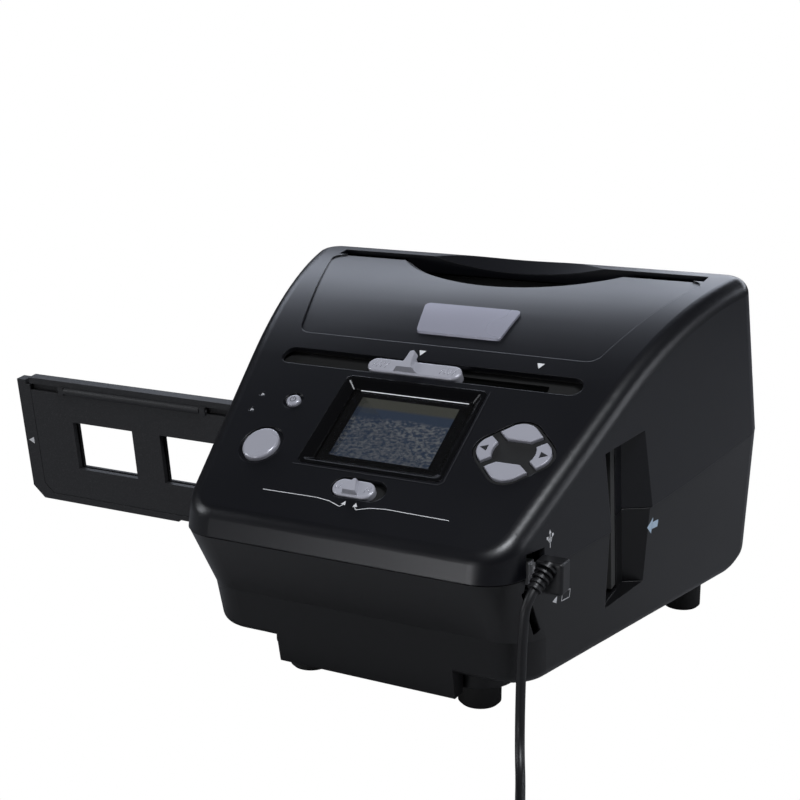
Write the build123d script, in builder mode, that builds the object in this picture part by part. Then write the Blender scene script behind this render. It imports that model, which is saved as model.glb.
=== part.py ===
"""Desktop film and photo scanner with a sliding slide holder, built piece by piece.

Millimetres, +Z up, +Y towards the back. The origin is on the table at the centre of the four
feet. The user's controls face -Y and up, and the slide holder slides along X.
"""

from build123d import *
from math import cos, pi, radians, sin, sqrt, tan
import os

os.makedirs("parts", exist_ok=True)

# ---- driving dimensions of the casing ----
WALL = 2.4
FIT = 0.3  # gap between pieces that move past each other
RUN_FIT = 0.05  # radial gap of a running shaft
NOSE_Y = -130.1
NOSE_HALF_WIDTH = 75.6
PARTING_Z = 76.8  # at the nose
PARTING_RADIUS = 967.0
FLARE_TOP = 0.2382  # half width gained per millimetre towards the back
FLARE_BASE = 0.2224
DRAFT_TOP = 0.0416  # half width lost per millimetre upwards
DRAFT_BASE = 0.1  # half width gained per millimetre upwards
PARTING_GAP = 0.4
NOSE_LEAN = 0.21
CHIN_LEAN = 0.679
CHIN_Z = 44.7
SHIN_LEAN = 0.214
TILT = 7.3  # film plane, photo plane and back wall lean forward
REAR_Y = 73.7
REAR_Z = 172.6
PANEL_SLOPE = 31.0
GROOVE_Y = -43.5
GROOVE_Z = 138.4
CROWN_RADIUS = 252.0
FRONT_CORNER = 19.0
REAR_CORNER = 13.0
SHOULDER = 8.0
BASE_Z = 24.0
BASE_EDGE = 5.0
HEEL_RADIUS = 25.0
BELLY_Z = 12.0
PEDESTAL_Z = 13.0
FOOT_RADIUS = 9.6
FRONT_FOOT = (43.0, -75.0)
REAR_FOOT = (88.7, 75.0)

# ---- planes that the pieces are laid out on ----
SIN_P = sin(radians(PANEL_SLOPE))
COS_P = cos(radians(PANEL_SLOPE))
SIN_T = sin(radians(TILT))
COS_T = cos(radians(TILT))
FILM_Y = -51.65
FILM_Z = 79.35
PHOTO_Y = 56.0
PHOTO_Z = 172.0
PANEL = Plane(origin=(0, GROOVE_Y, GROOVE_Z), x_dir=(1, 0, 0), z_dir=(0, -SIN_P, COS_P))
FILM = Plane(origin=(0, FILM_Y, FILM_Z), x_dir=(1, 0, 0), z_dir=(0, -COS_T, -SIN_T))
FILM_TOP_VIEW = Plane(origin=(0, FILM_Y, FILM_Z), x_dir=(1, 0, 0), z_dir=(0, -SIN_T, COS_T))
PHOTO = Plane(origin=(0, PHOTO_Y, PHOTO_Z), x_dir=(1, 0, 0), z_dir=(0, -COS_T, -SIN_T))

# ---- film gate and holder ----
HOLDER_TOP = 34.75
HOLDER_BOTTOM = -33.25
HOLDER_THICK = 5.6
HOLDER_LEFT = -229.3
HOLDER_RIGHT = 37.4
WINDOW_WIDTH = 37.4
WINDOW_HEIGHT = 25.9
WINDOW_PITCH = 54.4
FIRST_WINDOW = -177.5
PORT_X = 89.0
PORT_LOW = -36.6
PORT_HIGH = 36.3
PORT_FRONT = 2.0
PORT_BACK = 16.0
RECESS_SIDE = 6.0

# ---- port, slot and panel details ----
RECESS_FLAT = 24.0
PORT_LIP = 0.7
SCAN_SIZE = (16.5, 18.5)
POWER_SIZE = 6.8
PAD_TURN = 45.0
DISH_DEPTH = 0.8
LAMP_MARK_SIZE = 1.9
SLOT_HALF = 98.5
SLOT_DEEP = 8.5
GUIDE_GAP = 10.4  # room for the photo tray inside the casing
SCOOP_BLOCK_Z = 164.0
SCOOP_HALF = 62.0  # half width of the thick crown round the two scoops
SCOOP_FRONT_Y = 18.0
MOUTH_Y = 38.0  # the mouth in front of the slot is laid out on a plane that touches the crown here
MOUTH_SLOPE = 11.0
MOUTH_FRONT = -10.0
MOUTH_RADIUS = 75.5
MOUTH_RIM_DEEP = 3.0
MOUTH_RIM_WIDE = 4.75
DISH_RADIUS = 204.0
DISH_SLOPE = 31.0
DISH_DROP = 6.3  # at the slot's back wall
CROWN_FIELD = ((-74.8, -28.6), (74.8, -28.6), (101.0, 52.0), (-101.0, 52.0))
CROWN_FIELD_DEPTH = 0.8
PLATE_CORNERS = ((-22.5, 2.2), (27.5, 2.2), (26.2, -20.6), (-16.4, -20.6))
PLATE_DEPTH = 1.5
USB_X, USB_Y, USB_Z = 82.0, -107.5, 77.5
USB_HOOD = 9.0
CARD_X, CARD_Y, CARD_Z = 78.0, -106.5, 60.0
CARD_LEAN = 31.0
CARD_SLOT_LONG = 26.0
CARD_SLOT_THICK = 3.4
SCREW_SPOTS = ((77.5, -72.0), (-77.5, -72.0), (101.0, 48.0), (-101.0, 48.0))
SCREW_RADIUS = 1.5
SCREW_HEAD = 2.8
SCREW_GRIP = 9.0
SCREW_BITE = 12.0
BOSS_RADIUS = 4.4
BOSS_TOP = 98.0
PEDESTAL_RADIUS = 16.0
FOOT_PIN = 2.5
BELLY = ((-43.3, -130), (43.3, -130), (43.3, -91), (27, -91), (27, -20), (-27, -20), (-27, -91), (-43.3, -91))

# ---- controls, in the panel's own u and v ----
GROOVE_HALF = 74.9
GROOVE_SIZE = 10.8
KNOB_LEFT = -29.2
KNOB_RIGHT = 17.6
KNOB_TRAVEL = 55.0
BEZEL_SIZE = (69.7, 55.5)
BEZEL_CENTRE = (-0.5, -36.2)
SCAN_CENTRE = (-56.6, -57.4)
POWER_CENTRE = (-54.5, -28.8)
PAD_CENTRE = (58.7, -41.7)
PAD_SIZE = 31.6
PAD_CORNER = 9.6
SWITCH_CENTRE = (0.5, -73.9)
SWITCH_SIZE = (25.4, 11.8)
LAMP_MARKS = ((-71.7, -27.2), (-72.2, -37.4))
KEY_TRAVEL = 0.9

# ---- smaller pieces ----
PLATE_RISE = 0.25
SNUG = 0.15  # gap round a piece let into the cover
BEZEL_DEEP = 5.2
BEZEL_PROUD = 0.1
OPENING_SIZE = (59.3, 43.7)
GLASS_POCKET = (63.0, 47.4)
WINDOW_TOP = 2.9
PANE_THICK = 1.2
LCD_CASE = (58.0, 43.0)
LCD_ACTIVE = (48.5, 36.6)
PAD_SUNK = 0.7
PAD_EYE = 9.6
KEY_ANGLES = {"right_key": 0, "mode_key": 90, "left_key": 180, "enter_key": 270}
KEY_WIDE_TURN = 51.0
KEY_NARROW_TURN = 40.0
KEY_WIDE_APEX = 2.4
KEY_NARROW_APEX = 3.6
KEY_CHORD = 6.7
KEY_SQUARE = 28.0
KEY_ROUND = 8.0
KEY_STEM = 12.2
KEY_PROUD = 0.8
KEY_FOOT = -5.6
BOARD_N = -7.2
KNOB_HEIGHT = 8.6
KNOB_PROUD = 0.5
POINTER_U = -8.9
POINTER_PROUD = 2.8
POINTER_CLEAR = 0.45
RIDGE_TAPER = 14.0
SHANK_U = -4.0
SHANK_END = 12.0
SWITCH_KNOB = (19.6, 9.4)
SWITCH_REST = -2.1
SWITCH_TRAVEL = 4.8
LID_LEFT = -221.0
LID_RIGHT = 29.0
LID_BOTTOM = -29.3
LID_TOP = 28.0
LID_THICK = 2.5
SLIDE_MOUNT = 50.4
HINGES = ((-198.5, -115.5), (-89.5, -6.5))
HINGE_UP = 29.6
HINGE_BACK = 0.5
BARREL_RADIUS = 2.0
PIN_RADIUS = 0.8
FRAME_HALF = 84.0
ROD_END = 79.6
ROD_UP = 25.0
ROD_BACK = 15.0
ROD_RADIUS = 2.0
LIGHT_HALF = 20.5
LENS_RADIUS = 6.5
SENSOR_DIST = 62.0
MAIN_Z = 33.0
MAIN_HOLES = ((-55, -13), (55, -13), (-55, 43), (55, 43))
CORD_RADIUS = 2.0
CORD_LOW = 2.05
PLUG_LOW = (82.0, -112.0, 71.0)
PLUG_HIGH = (94.0, -103.0, 84.5)
RELIEF_START = (87.0, -112.0, 81.0)
RIB_COUNT = 4
CORD_ROUTE = (
    (85.0, -119.0, 75.0),
    (83.6, -123.9, 70.4),
    (83.2, -124.8, 60.0),
    (82.4, -123.8, 46.0),
    (81.9, -122.9, 31.5),
    (81.8, -122.6, 18.2),
    (84.2, -127.9, 7.95),
    (88.5, -137.0, CORD_LOW),
    (96.2, -156.0, CORD_LOW),
    (107.8, -177.3, CORD_LOW),
    (115.0, -193.4, CORD_LOW),
)
COIL_OUTER = 29.3
COIL_PITCH = 4.6
COIL_STEPS = 5
COIL_LEAVES = (-4.0, -41.0, 4.4)  # in the coil's own frame, where the far plug lies beside it
FAR_PLUG_Z = 4.1
FAR_PLUG_THICK = 8.0
FAR_PLUG_WIDE = 16.0
FAR_PLUG_LONG = 26.0
FEET = tuple((side * x, y) for side in (-1, 1) for x, y in (FRONT_FOOT, REAR_FOOT))

SIDES = (-1, 1)


def save(part, name):
    """Label a finished piece and write it."""
    part.label = name
    export_step(part, f"parts/{name}.step")


# ---- casing forms ----
def rear_y(z):
    """Back wall's y at a height."""
    return REAR_Y + (REAR_Z - z) * tan(radians(TILT))


def nose_y(z):
    """Front face's y at a height above the parting."""
    return NOSE_Y + NOSE_LEAN * (z - PARTING_Z)


def chin_y(z):
    """Front face's y at a height below the parting."""
    above_chin = max(z, CHIN_Z)
    return NOSE_Y + CHIN_LEAN * (PARTING_Z - above_chin) + SHIN_LEAN * max(0, CHIN_Z - z)


def top_half(y, z):
    """Half width of the top cover."""
    return NOSE_HALF_WIDTH + FLARE_TOP * (y - NOSE_Y) - DRAFT_TOP * (z - PARTING_Z)


def base_half(y, z):
    """Half width of the bottom cover."""
    return NOSE_HALF_WIDTH + FLARE_BASE * (y - NOSE_Y) + DRAFT_BASE * (z - PARTING_Z)


def crown_z(y):
    """Height of the curved crown above a y."""
    middle_y = GROOVE_Y + CROWN_RADIUS * SIN_P
    return GROOVE_Z - CROWN_RADIUS * COS_P + sqrt(CROWN_RADIUS**2 - (middle_y - y) ** 2)


def plan(z, front, half, inset):
    """Rounded plan outline of the casing at one height."""
    back = rear_y(z)
    with BuildSketch(Plane.XY.offset(z)) as outline:
        with BuildLine():
            Polyline(
                (-half(front, z), front),
                (half(front, z), front),
                (half(back, z), back),
                (-half(back, z), back),
                close=True,
            )
        make_face()
        fillet(outline.vertices().group_by(Axis.Y)[0], FRONT_CORNER)
        fillet(outline.vertices().group_by(Axis.Y)[-1], REAR_CORNER)
        if inset:
            offset(amount=-inset)
    return outline


def top_form(inset):
    """The top cover's full form, drawn in by a wall's thickness."""
    low, high = 40.0, 190.0
    with BuildPart() as form:
        add(plan(low, nose_y(low), top_half, inset).sketch)
        add(plan(high, nose_y(high), top_half, inset).sketch)
        loft(ruled=True)
        with BuildSketch(Plane.YZ):
            with BuildLine():
                drop = 60.0
                lead = Line((GROOVE_Y - 110, GROOVE_Z - 110 * tan(radians(PANEL_SLOPE))), (GROOVE_Y, GROOVE_Z))
                crown = ThreePointArc(lead @ 1, (20, crown_z(20)), (100, crown_z(100)))
                Polyline(crown @ 1, (100, low - drop), (GROOVE_Y - 110, low - drop), lead @ 0)
            make_face()
            if inset:
                offset(amount=-inset)
        extrude(amount=200, both=True, mode=Mode.INTERSECT)
        rim = form.edges().filter_by(lambda e: on_crown(e, inset))
        fillet(rim, SHOULDER - inset)
    return form


def on_crown(edge, inset):
    """Whether an edge lies where the walls meet the panel and the crown."""
    middle = edge.position_at(0.5)
    if middle.Y < GROOVE_Y:
        height = GROOVE_Z + (middle.Y - GROOVE_Y) * tan(radians(PANEL_SLOPE))
    else:
        height = crown_z(middle.Y)
    crease = abs(middle.Y - GROOVE_Y) < 4 and abs(middle.X) < 1
    return abs(middle.Z - height) < inset * 1.3 + 0.5 and not crease

def parting_z(y):
    """Height of the joint between the covers."""
    return PARTING_Z + PARTING_RADIUS - sqrt(PARTING_RADIUS**2 - (y - NOSE_Y) ** 2)


def parting_side(upper, gap=0.0):
    """Everything above, or below, the curved joint between the covers."""
    ends = (-170.0, 130.0)
    far = 260.0 if upper else -60.0
    shift = gap if upper else -gap
    with BuildPart() as side:
        with BuildSketch(Plane.YZ):
            with BuildLine():
                points = [(y, parting_z(y) + shift) for y in (ends[0], 0.0, ends[1])]
                joint = ThreePointArc(*points)
                Polyline(joint @ 1, (ends[1], far), (ends[0], far), joint @ 0)
            make_face()
        extrude(amount=220, both=True)
    return side


def box_between(low, high):
    """A plain block between two opposite corners."""
    middle = [(a + b) / 2 for a, b in zip(low, high)]
    size = [b - a for a, b in zip(low, high)]
    with BuildPart() as block:
        with Locations(tuple(middle)):
            Box(*size)
    return block


def tilted_box(plane, x_span, up_span, back_span):
    """A block in a tilted plane's own axes: across, up, and behind the plane."""
    with BuildPart() as block:
        with BuildSketch(plane.offset(-back_span[1])):
            with Locations(((x_span[0] + x_span[1]) / 2, (up_span[0] + up_span[1]) / 2)):
                Rectangle(x_span[1] - x_span[0], up_span[1] - up_span[0])
        extrude(amount=back_span[1] - back_span[0])
    return block


def port_recess(side, wall):
    """The wedge-shaped hollow round a film port, grown by a wall's thickness."""
    face = PORT_X - wall
    outline = (
        (face, -PORT_FRONT - wall),
        (face, RECESS_FLAT + wall),
        (face + 12, RECESS_FLAT + RECESS_SIDE + wall),
        (face + 60, RECESS_FLAT + RECESS_SIDE + wall),
        (face + 60, -PORT_FRONT - wall),
    )
    with BuildPart() as recess:
        with BuildSketch(FILM_TOP_VIEW.offset(PORT_LOW - wall)):
            with BuildLine():
                Polyline(*[(side * x, back) for x, back in outline], close=True)
            make_face()
        extrude(amount=PORT_HIGH - PORT_LOW + 2 * wall)
    return recess


def port_opening(side):
    """The slot that the holder passes through."""
    inner, outer = PORT_X - 12, PORT_X + 60
    span = (inner, outer) if side > 0 else (-outer, -inner)
    low, high = PORT_LOW + PORT_LIP, PORT_HIGH - PORT_LIP
    return tilted_box(FILM, span, (low, high), (-PORT_FRONT, PORT_BACK))


def screw_bosses(radius, low, high):
    """Round bosses at the four cover screws, joined to the side walls by ribs."""
    with BuildPart() as bosses:
        for x, y in SCREW_SPOTS:
            with BuildSketch(Plane.XY.offset(low)):
                with Locations((x, y)):
                    Circle(radius)
                with Locations((x + 10 * x / abs(x), y)):
                    Rectangle(20, 2)
            extrude(amount=high - low)
    return bosses


def panel_prism(outline, depth_low, depth_high):
    """A sketch on the control panel made solid between two heights above it."""
    with BuildPart() as prism:
        with BuildSketch(PANEL.offset(depth_low)):
            add(outline)
        extrude(amount=depth_high - depth_low)
    return prism


def stadium(width, height, centre):
    """A slot outline with round ends."""
    with BuildSketch() as shape:
        with Locations(centre):
            SlotOverall(width, height)
    return shape.sketch


def soft_rectangle(width, height, radius, centre=(0, 0), turn=0.0):
    """A rectangle with round corners."""
    with BuildSketch() as shape:
        with Locations(Location((centre[0], centre[1], 0), (0, 0, turn))):
            RectangleRounded(width, height, radius)
    return shape.sketch


def oval(width, height, centre):
    """An ellipse."""
    with BuildSketch() as shape:
        with Locations(centre):
            Ellipse(width / 2, height / 2)
    return shape.sketch


def triangle(size, centre, turn):
    """A small triangular window."""
    with BuildSketch() as shape:
        with Locations(Location((centre[0], centre[1], 0), (0, 0, turn))):
            RegularPolygon(size, 3)
    return shape.sketch


GROOVE = stadium(2 * GROOVE_HALF, GROOVE_SIZE, (0, 0.2))
BEZEL_HOLE = soft_rectangle(*BEZEL_SIZE, 3.0, BEZEL_CENTRE)
SCAN_HOLE = oval(SCAN_SIZE[0] + 2 * FIT, SCAN_SIZE[1] + 2 * FIT, SCAN_CENTRE)
SCAN_DISH = oval(SCAN_SIZE[0] + 4, SCAN_SIZE[1] + 4, SCAN_CENTRE)
POWER_HOLE = oval(POWER_SIZE + 2 * FIT, POWER_SIZE + 2 * FIT, POWER_CENTRE)
POWER_DISH = oval(POWER_SIZE + 3, POWER_SIZE + 3, POWER_CENTRE)
PAD_HOLE = soft_rectangle(PAD_SIZE, PAD_SIZE, PAD_CORNER, PAD_CENTRE, PAD_TURN)
SWITCH_HOLE = stadium(*SWITCH_SIZE, SWITCH_CENTRE)


OUTER_TOP = top_form(0)
INNER_TOP = top_form(WALL)


def crown_skin(outline, rise, depth):
    """A piece that follows the crown, from a depth below it to a rise above it."""
    with BuildPart() as skin:
        with BuildSketch(Plane.XY.offset(120)):
            add(outline)
        extrude(amount=80)
        add(OUTER_TOP.part.moved(Location((0, 0, rise))), mode=Mode.INTERSECT)
        add(OUTER_TOP.part.moved(Location((0, 0, -depth))), mode=Mode.SUBTRACT)
    return skin


def plan_polygon(points, radius, shrink=0.0):
    """A plan outline with rounded corners."""
    with BuildSketch() as shape:
        with BuildLine():
            Polyline(*points, close=True)
        make_face()
        fillet(shape.vertices(), radius)
        if shrink:
            offset(amount=-shrink)
    return shape.sketch


def make_top_cover():
    """Upper shell with the control panel, the crown, the photo slot and half of each port."""
    with BuildPart() as hollow:
        add(INNER_TOP.part)
        for side in SIDES:
            add(port_recess(side, WALL).part, mode=Mode.SUBTRACT)
        thick = box_between((-SCOOP_HALF, SCOOP_FRONT_Y, SCOOP_BLOCK_Z), (SCOOP_HALF, 100, 200))
        add(thick.part, mode=Mode.SUBTRACT)
    with BuildPart() as bosses:
        add(screw_bosses(BOSS_RADIUS, 60, BOSS_TOP).part)
        add(OUTER_TOP.part, mode=Mode.INTERSECT)
    with BuildPart() as cover:
        add(OUTER_TOP.part)
        add(hollow.part, mode=Mode.SUBTRACT)
        add(bosses.part)
        add(parting_side(True).part, mode=Mode.INTERSECT)
        for side in SIDES:
            add(port_recess(side, 0).part, mode=Mode.SUBTRACT)
            add(port_opening(side).part, mode=Mode.SUBTRACT)
        add(panel_prism(GROOVE, -20, 20).part, mode=Mode.SUBTRACT)
        add(panel_prism(BEZEL_HOLE, -20, 20).part, mode=Mode.SUBTRACT)
        add(panel_prism(SCAN_HOLE, -20, 20).part, mode=Mode.SUBTRACT)
        add(panel_prism(PAD_HOLE, -20, 20).part, mode=Mode.SUBTRACT)
        add(panel_prism(SWITCH_HOLE, -20, 20).part, mode=Mode.SUBTRACT)
        add(panel_prism(SCAN_DISH, -DISH_DEPTH, 20).part, mode=Mode.SUBTRACT)
        add(panel_prism(POWER_HOLE, -20, 20).part, mode=Mode.SUBTRACT)
        add(panel_prism(POWER_DISH, -DISH_DEPTH, 20).part, mode=Mode.SUBTRACT)
        for spot in LAMP_MARKS:
            add(panel_prism(triangle(LAMP_MARK_SIZE, spot, 90), -20, 20).part, mode=Mode.SUBTRACT)
        slot = tilted_box(PHOTO, (-SLOT_HALF, SLOT_HALF), (-40, 40), (-SLOT_DEEP / 2, SLOT_DEEP / 2))
        add(slot.part, mode=Mode.SUBTRACT)
        add(front_scoop().part, mode=Mode.SUBTRACT)
        add(back_scoop().part, mode=Mode.SUBTRACT)
        add(crown_skin(plan_polygon(CROWN_FIELD, 7), 2, CROWN_FIELD_DEPTH).part, mode=Mode.SUBTRACT)
        add(crown_skin(plan_polygon(PLATE_CORNERS, 2.5), 2, PLATE_DEPTH).part, mode=Mode.SUBTRACT)
        add(usb_window().part, mode=Mode.SUBTRACT)
        for x, y in SCREW_SPOTS:
            with Locations((x, y, 50)):
                Cylinder(SCREW_RADIUS, 2 * (parting_z(y) + SCREW_BITE - 50), mode=Mode.SUBTRACT)
    return cover


def front_scoop():
    """Finger mouth in front of the photo slot: lens-shaped, with a sloping rim."""
    turn = radians(MOUTH_SLOPE)
    slope = Plane(origin=(0, MOUTH_Y, crown_z(MOUTH_Y)), x_dir=(1, 0, 0), z_dir=(0, -sin(turn), cos(turn)))
    centre = (0, MOUTH_FRONT + MOUTH_RADIUS)
    with BuildPart() as scoop:
        with BuildSketch(slope.offset(-MOUTH_RIM_DEEP)):
            with Locations(centre):
                Circle(MOUTH_RADIUS)
        with BuildSketch(slope.offset(MOUTH_RIM_DEEP)):
            with Locations(centre):
                Circle(MOUTH_RADIUS + 2 * MOUTH_RIM_WIDE)
        loft(ruled=True)
        with BuildSketch(slope.offset(-40)):
            with Locations(centre):
                Circle(MOUTH_RADIUS)
        extrude(amount=40)
        add(box_between((-90, SCOOP_FRONT_Y, 140), (90, PHOTO_Y, 190)).part, mode=Mode.INTERSECT)
    return scoop


def back_scoop():
    """Finger hollow behind the photo slot: a dish that runs out before the rim."""
    turn = radians(DISH_SLOPE)
    slot_back = PHOTO_Y + SLOT_DEEP / 2
    start_y = PHOTO_Y + 1
    start_z = crown_z(slot_back) - DISH_DROP - (slot_back - start_y) * tan(turn)
    with BuildPart() as scoop:
        with BuildSketch(Plane(origin=(0, start_y, start_z), x_dir=(1, 0, 0), z_dir=(0, cos(turn), sin(turn)))):
            with Locations((0, -DISH_RADIUS)):
                Circle(DISH_RADIUS)
        extrude(amount=40)
    return scoop


def usb_window():
    """Opening in the side wall for the plug."""
    return box_between(
        (USB_X - 14, USB_Y - 6, USB_Z - 7),
        (USB_X + 20, USB_Y + 6, USB_Z + USB_HOOD),
    )


def base_form(inset):
    """The bottom cover's full form, drawn in by a wall's thickness."""
    with BuildPart() as form:
        for z in (130.0, CHIN_Z):
            add(plan(z, chin_y(z) if z < 76 else NOSE_Y + CHIN_LEAN * (PARTING_Z - z), base_half, inset).sketch)
        loft(ruled=True)
    with BuildPart() as shin:
        for z in (CHIN_Z, 2.0):
            add(plan(z, chin_y(z), base_half, inset).sketch)
        loft(ruled=True)
    with BuildPart() as region:
        with BuildSketch(Plane.YZ) as side:
            with BuildLine():
                heel = rear_y(BASE_Z) + 0.6
                Polyline((-170, 150), (-170, BASE_Z), (heel, BASE_Z), (rear_y(150) + 0.6, 150), close=True)
            make_face()
            fillet(side.vertices().sort_by_distance((heel, BASE_Z, 0))[0], HEEL_RADIUS)
            if inset:
                offset(amount=-inset)
        extrude(amount=200, both=True)
    with BuildPart() as whole:
        add(form.part)
        add(shin.part)
        add(region.part, mode=Mode.INTERSECT)
        rim = whole.edges().filter_by(lambda e: abs(e.position_at(0.5).Z - BASE_Z - inset) < 0.2)
        fillet(rim.filter_by(lambda e: e.position_at(0.5).Y < 60), BASE_EDGE)
        add(belly_form(inset).part)
    return whole


def belly_form(inset):
    """The deeper middle of the bottom cover, under the camera."""
    with BuildPart() as belly:
        for z in (CHIN_Z, 2.0):
            add(plan(z, chin_y(z), base_half, inset).sketch)
        loft(ruled=True)
        with BuildSketch(Plane.XY.offset(BELLY_Z + inset)):
            add(plan_polygon(BELLY, 3, inset))
        extrude(amount=BASE_Z - BELLY_Z + 6, mode=Mode.INTERSECT)
    return belly


OUTER_BASE = base_form(0)


def make_bottom_cover():
    """Lower shell with the chin, the belly, the foot pedestals and half of each port."""
    with BuildPart() as hollow:
        add(base_form(WALL).part)
        for side in SIDES:
            add(port_recess(side, WALL).part, mode=Mode.SUBTRACT)
    with BuildPart() as posts:
        add(screw_bosses(BOSS_RADIUS, BASE_Z + 1, 120).part)
        add(OUTER_BASE.part, mode=Mode.INTERSECT)
    with BuildPart() as cover:
        add(OUTER_BASE.part)
        add(hollow.part, mode=Mode.SUBTRACT)
        for x, y in FEET:
            with Locations((x, y, PEDESTAL_Z + (BASE_Z + 3 - PEDESTAL_Z) / 2)):
                Cylinder(PEDESTAL_RADIUS if y < 0 else FOOT_RADIUS, BASE_Z + 3 - PEDESTAL_Z)
        add(posts.part)
        add(parting_side(False, PARTING_GAP).part, mode=Mode.INTERSECT)
        for side in SIDES:
            add(port_recess(side, 0).part, mode=Mode.SUBTRACT)
            add(port_opening(side).part, mode=Mode.SUBTRACT)
        add(usb_window().part, mode=Mode.SUBTRACT)
        add(card_slot(CARD_SLOT_THICK, CARD_SLOT_LONG, 30).part, mode=Mode.SUBTRACT)
        for x, y in SCREW_SPOTS:
            with Locations((x, y, parting_z(y) - SCREW_GRIP / 2)):
                Cylinder(SCREW_RADIUS + 0.1, SCREW_GRIP + 2, mode=Mode.SUBTRACT)
            with Locations((x, y, (parting_z(y) - SCREW_GRIP) / 2)):
                Cylinder(SCREW_HEAD + 0.3, parting_z(y) - SCREW_GRIP, mode=Mode.SUBTRACT)
        for x, y in FEET:
            with Locations((x, y, PEDESTAL_Z + 2)):
                Cylinder(FOOT_PIN, 4, mode=Mode.SUBTRACT)
        for x, y in MAIN_HOLES:
            with Locations((x, y, (MAIN_Z + BASE_Z + 1) / 2)):
                Cylinder(3.2, MAIN_Z - BASE_Z - 1)
            with Locations((x, y, MAIN_Z)):
                Cylinder(1.2, 8, mode=Mode.SUBTRACT)
    return cover


def card_slot(thick, long, deep):
    """A slot through the right wall, leaning with the chin."""
    place = Plane(origin=(CARD_X, CARD_Y, CARD_Z), x_dir=(0, sin(radians(CARD_LEAN)), -cos(radians(CARD_LEAN))), z_dir=(1, 0, 0))
    with BuildPart() as slot:
        with BuildSketch(place.offset(-deep / 2)):
            Rectangle(long, thick)
        extrude(amount=deep)
    return slot



def make_name_plate():
    """Blank silver plate let into the crown."""
    return crown_skin(plan_polygon(PLATE_CORNERS, 2.5, 0.15), PLATE_RISE, PLATE_DEPTH)


def make_feet():
    """Four round rubber feet, each with a pin up into its pedestal."""
    with BuildPart() as feet:
        for x, y in FEET:
            with BuildSketch(Plane.XZ.offset(-y)):
                with BuildLine():
                    Polyline(
                        (x, 0),
                        (x + FOOT_RADIUS - 1.2, 0),
                        (x + FOOT_RADIUS, 1.2),
                        (x + FOOT_RADIUS, PEDESTAL_Z),
                        (x + FOOT_PIN, PEDESTAL_Z),
                        (x + FOOT_PIN, PEDESTAL_Z + 3.6),
                        (x, PEDESTAL_Z + 3.6),
                        close=True,
                    )
                make_face()
            revolve(axis=Axis((x, y, 0), (0, 0, 1)))
    return feet


def make_cover_screws():
    """Four screws that hold the two covers together from below."""
    with BuildPart() as screws:
        for x, y in SCREW_SPOTS:
            head = parting_z(y) - SCREW_GRIP
            with Locations((x, y, head + (SCREW_GRIP + SCREW_BITE) / 2)):
                Cylinder(SCREW_RADIUS, SCREW_GRIP + SCREW_BITE)
            with Locations((x, y, head - 1.1)):
                Cylinder(SCREW_HEAD, 2.2)
            with Locations((x, y, head - 2.2 + 0.6)):
                Cylinder(0.9, 1.2, mode=Mode.SUBTRACT)
    return screws


# ---- control panel pieces ----
def make_display_bezel():
    """Frame with sloping inner faces round the display."""
    width, height = BEZEL_SIZE
    with BuildPart() as bezel:
        add(panel_prism(soft_rectangle(width - 2 * SNUG, height - 2 * SNUG, 2.9, BEZEL_CENTRE), -BEZEL_DEEP, BEZEL_PROUD).part)
        with BuildSketch(PANEL.offset(-WINDOW_TOP)):
            add(soft_rectangle(*OPENING_SIZE, 1.5, BEZEL_CENTRE))
        with BuildSketch(PANEL.offset(BEZEL_PROUD + 0.01)):
            add(soft_rectangle(OPENING_SIZE[0] + 6.5, OPENING_SIZE[1] + 7.5, 2.2, BEZEL_CENTRE))
        loft(ruled=True, mode=Mode.SUBTRACT)
        add(panel_prism(soft_rectangle(*GLASS_POCKET, 2, BEZEL_CENTRE), -20, -WINDOW_TOP).part, mode=Mode.SUBTRACT)
    return bezel


def make_display_window():
    """Clear pane in the back of the display frame."""
    size = (GLASS_POCKET[0] - 2 * SNUG, GLASS_POCKET[1] - 2 * SNUG)
    return panel_prism(soft_rectangle(*size, 1.9, BEZEL_CENTRE), -WINDOW_TOP - PANE_THICK, -WINDOW_TOP)


def make_lcd_module():
    """The display itself, in a thin metal-edged case behind the pane."""
    top = -WINDOW_TOP - PANE_THICK
    with BuildPart() as lcd:
        add(panel_prism(soft_rectangle(*LCD_CASE, 1, BEZEL_CENTRE), top - 3.4, top - 0.2).part)
        add(panel_prism(soft_rectangle(*LCD_ACTIVE, 0.3, BEZEL_CENTRE), top - 0.2, top).part)
        add(panel_prism(soft_rectangle(12, 3, 0.4, (BEZEL_CENTRE[0], BEZEL_CENTRE[1] + LCD_CASE[1] / 2 + 1.5)), top - 2.4, top - 1.6).part)
    return lcd


def make_key_surround():
    """Black plate that the four keys stand in."""
    size = PAD_SIZE - 2 * SNUG
    rim = PAD_SIZE + 2.4
    with BuildPart() as surround:
        add(panel_prism(soft_rectangle(rim, rim, PAD_CORNER + 1.2, PAD_CENTRE, PAD_TURN), -3.9, -WALL - 0.05).part)
        add(INNER_TOP.part, mode=Mode.INTERSECT)
        add(panel_prism(soft_rectangle(size, size, PAD_CORNER - SNUG, PAD_CENTRE, PAD_TURN), -3.9, -PAD_SUNK).part)
        for angle in KEY_ANGLES.values():
            add(panel_prism(key_outline(angle, FIT), -10, 10).part, mode=Mode.SUBTRACT)
    return surround


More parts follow.
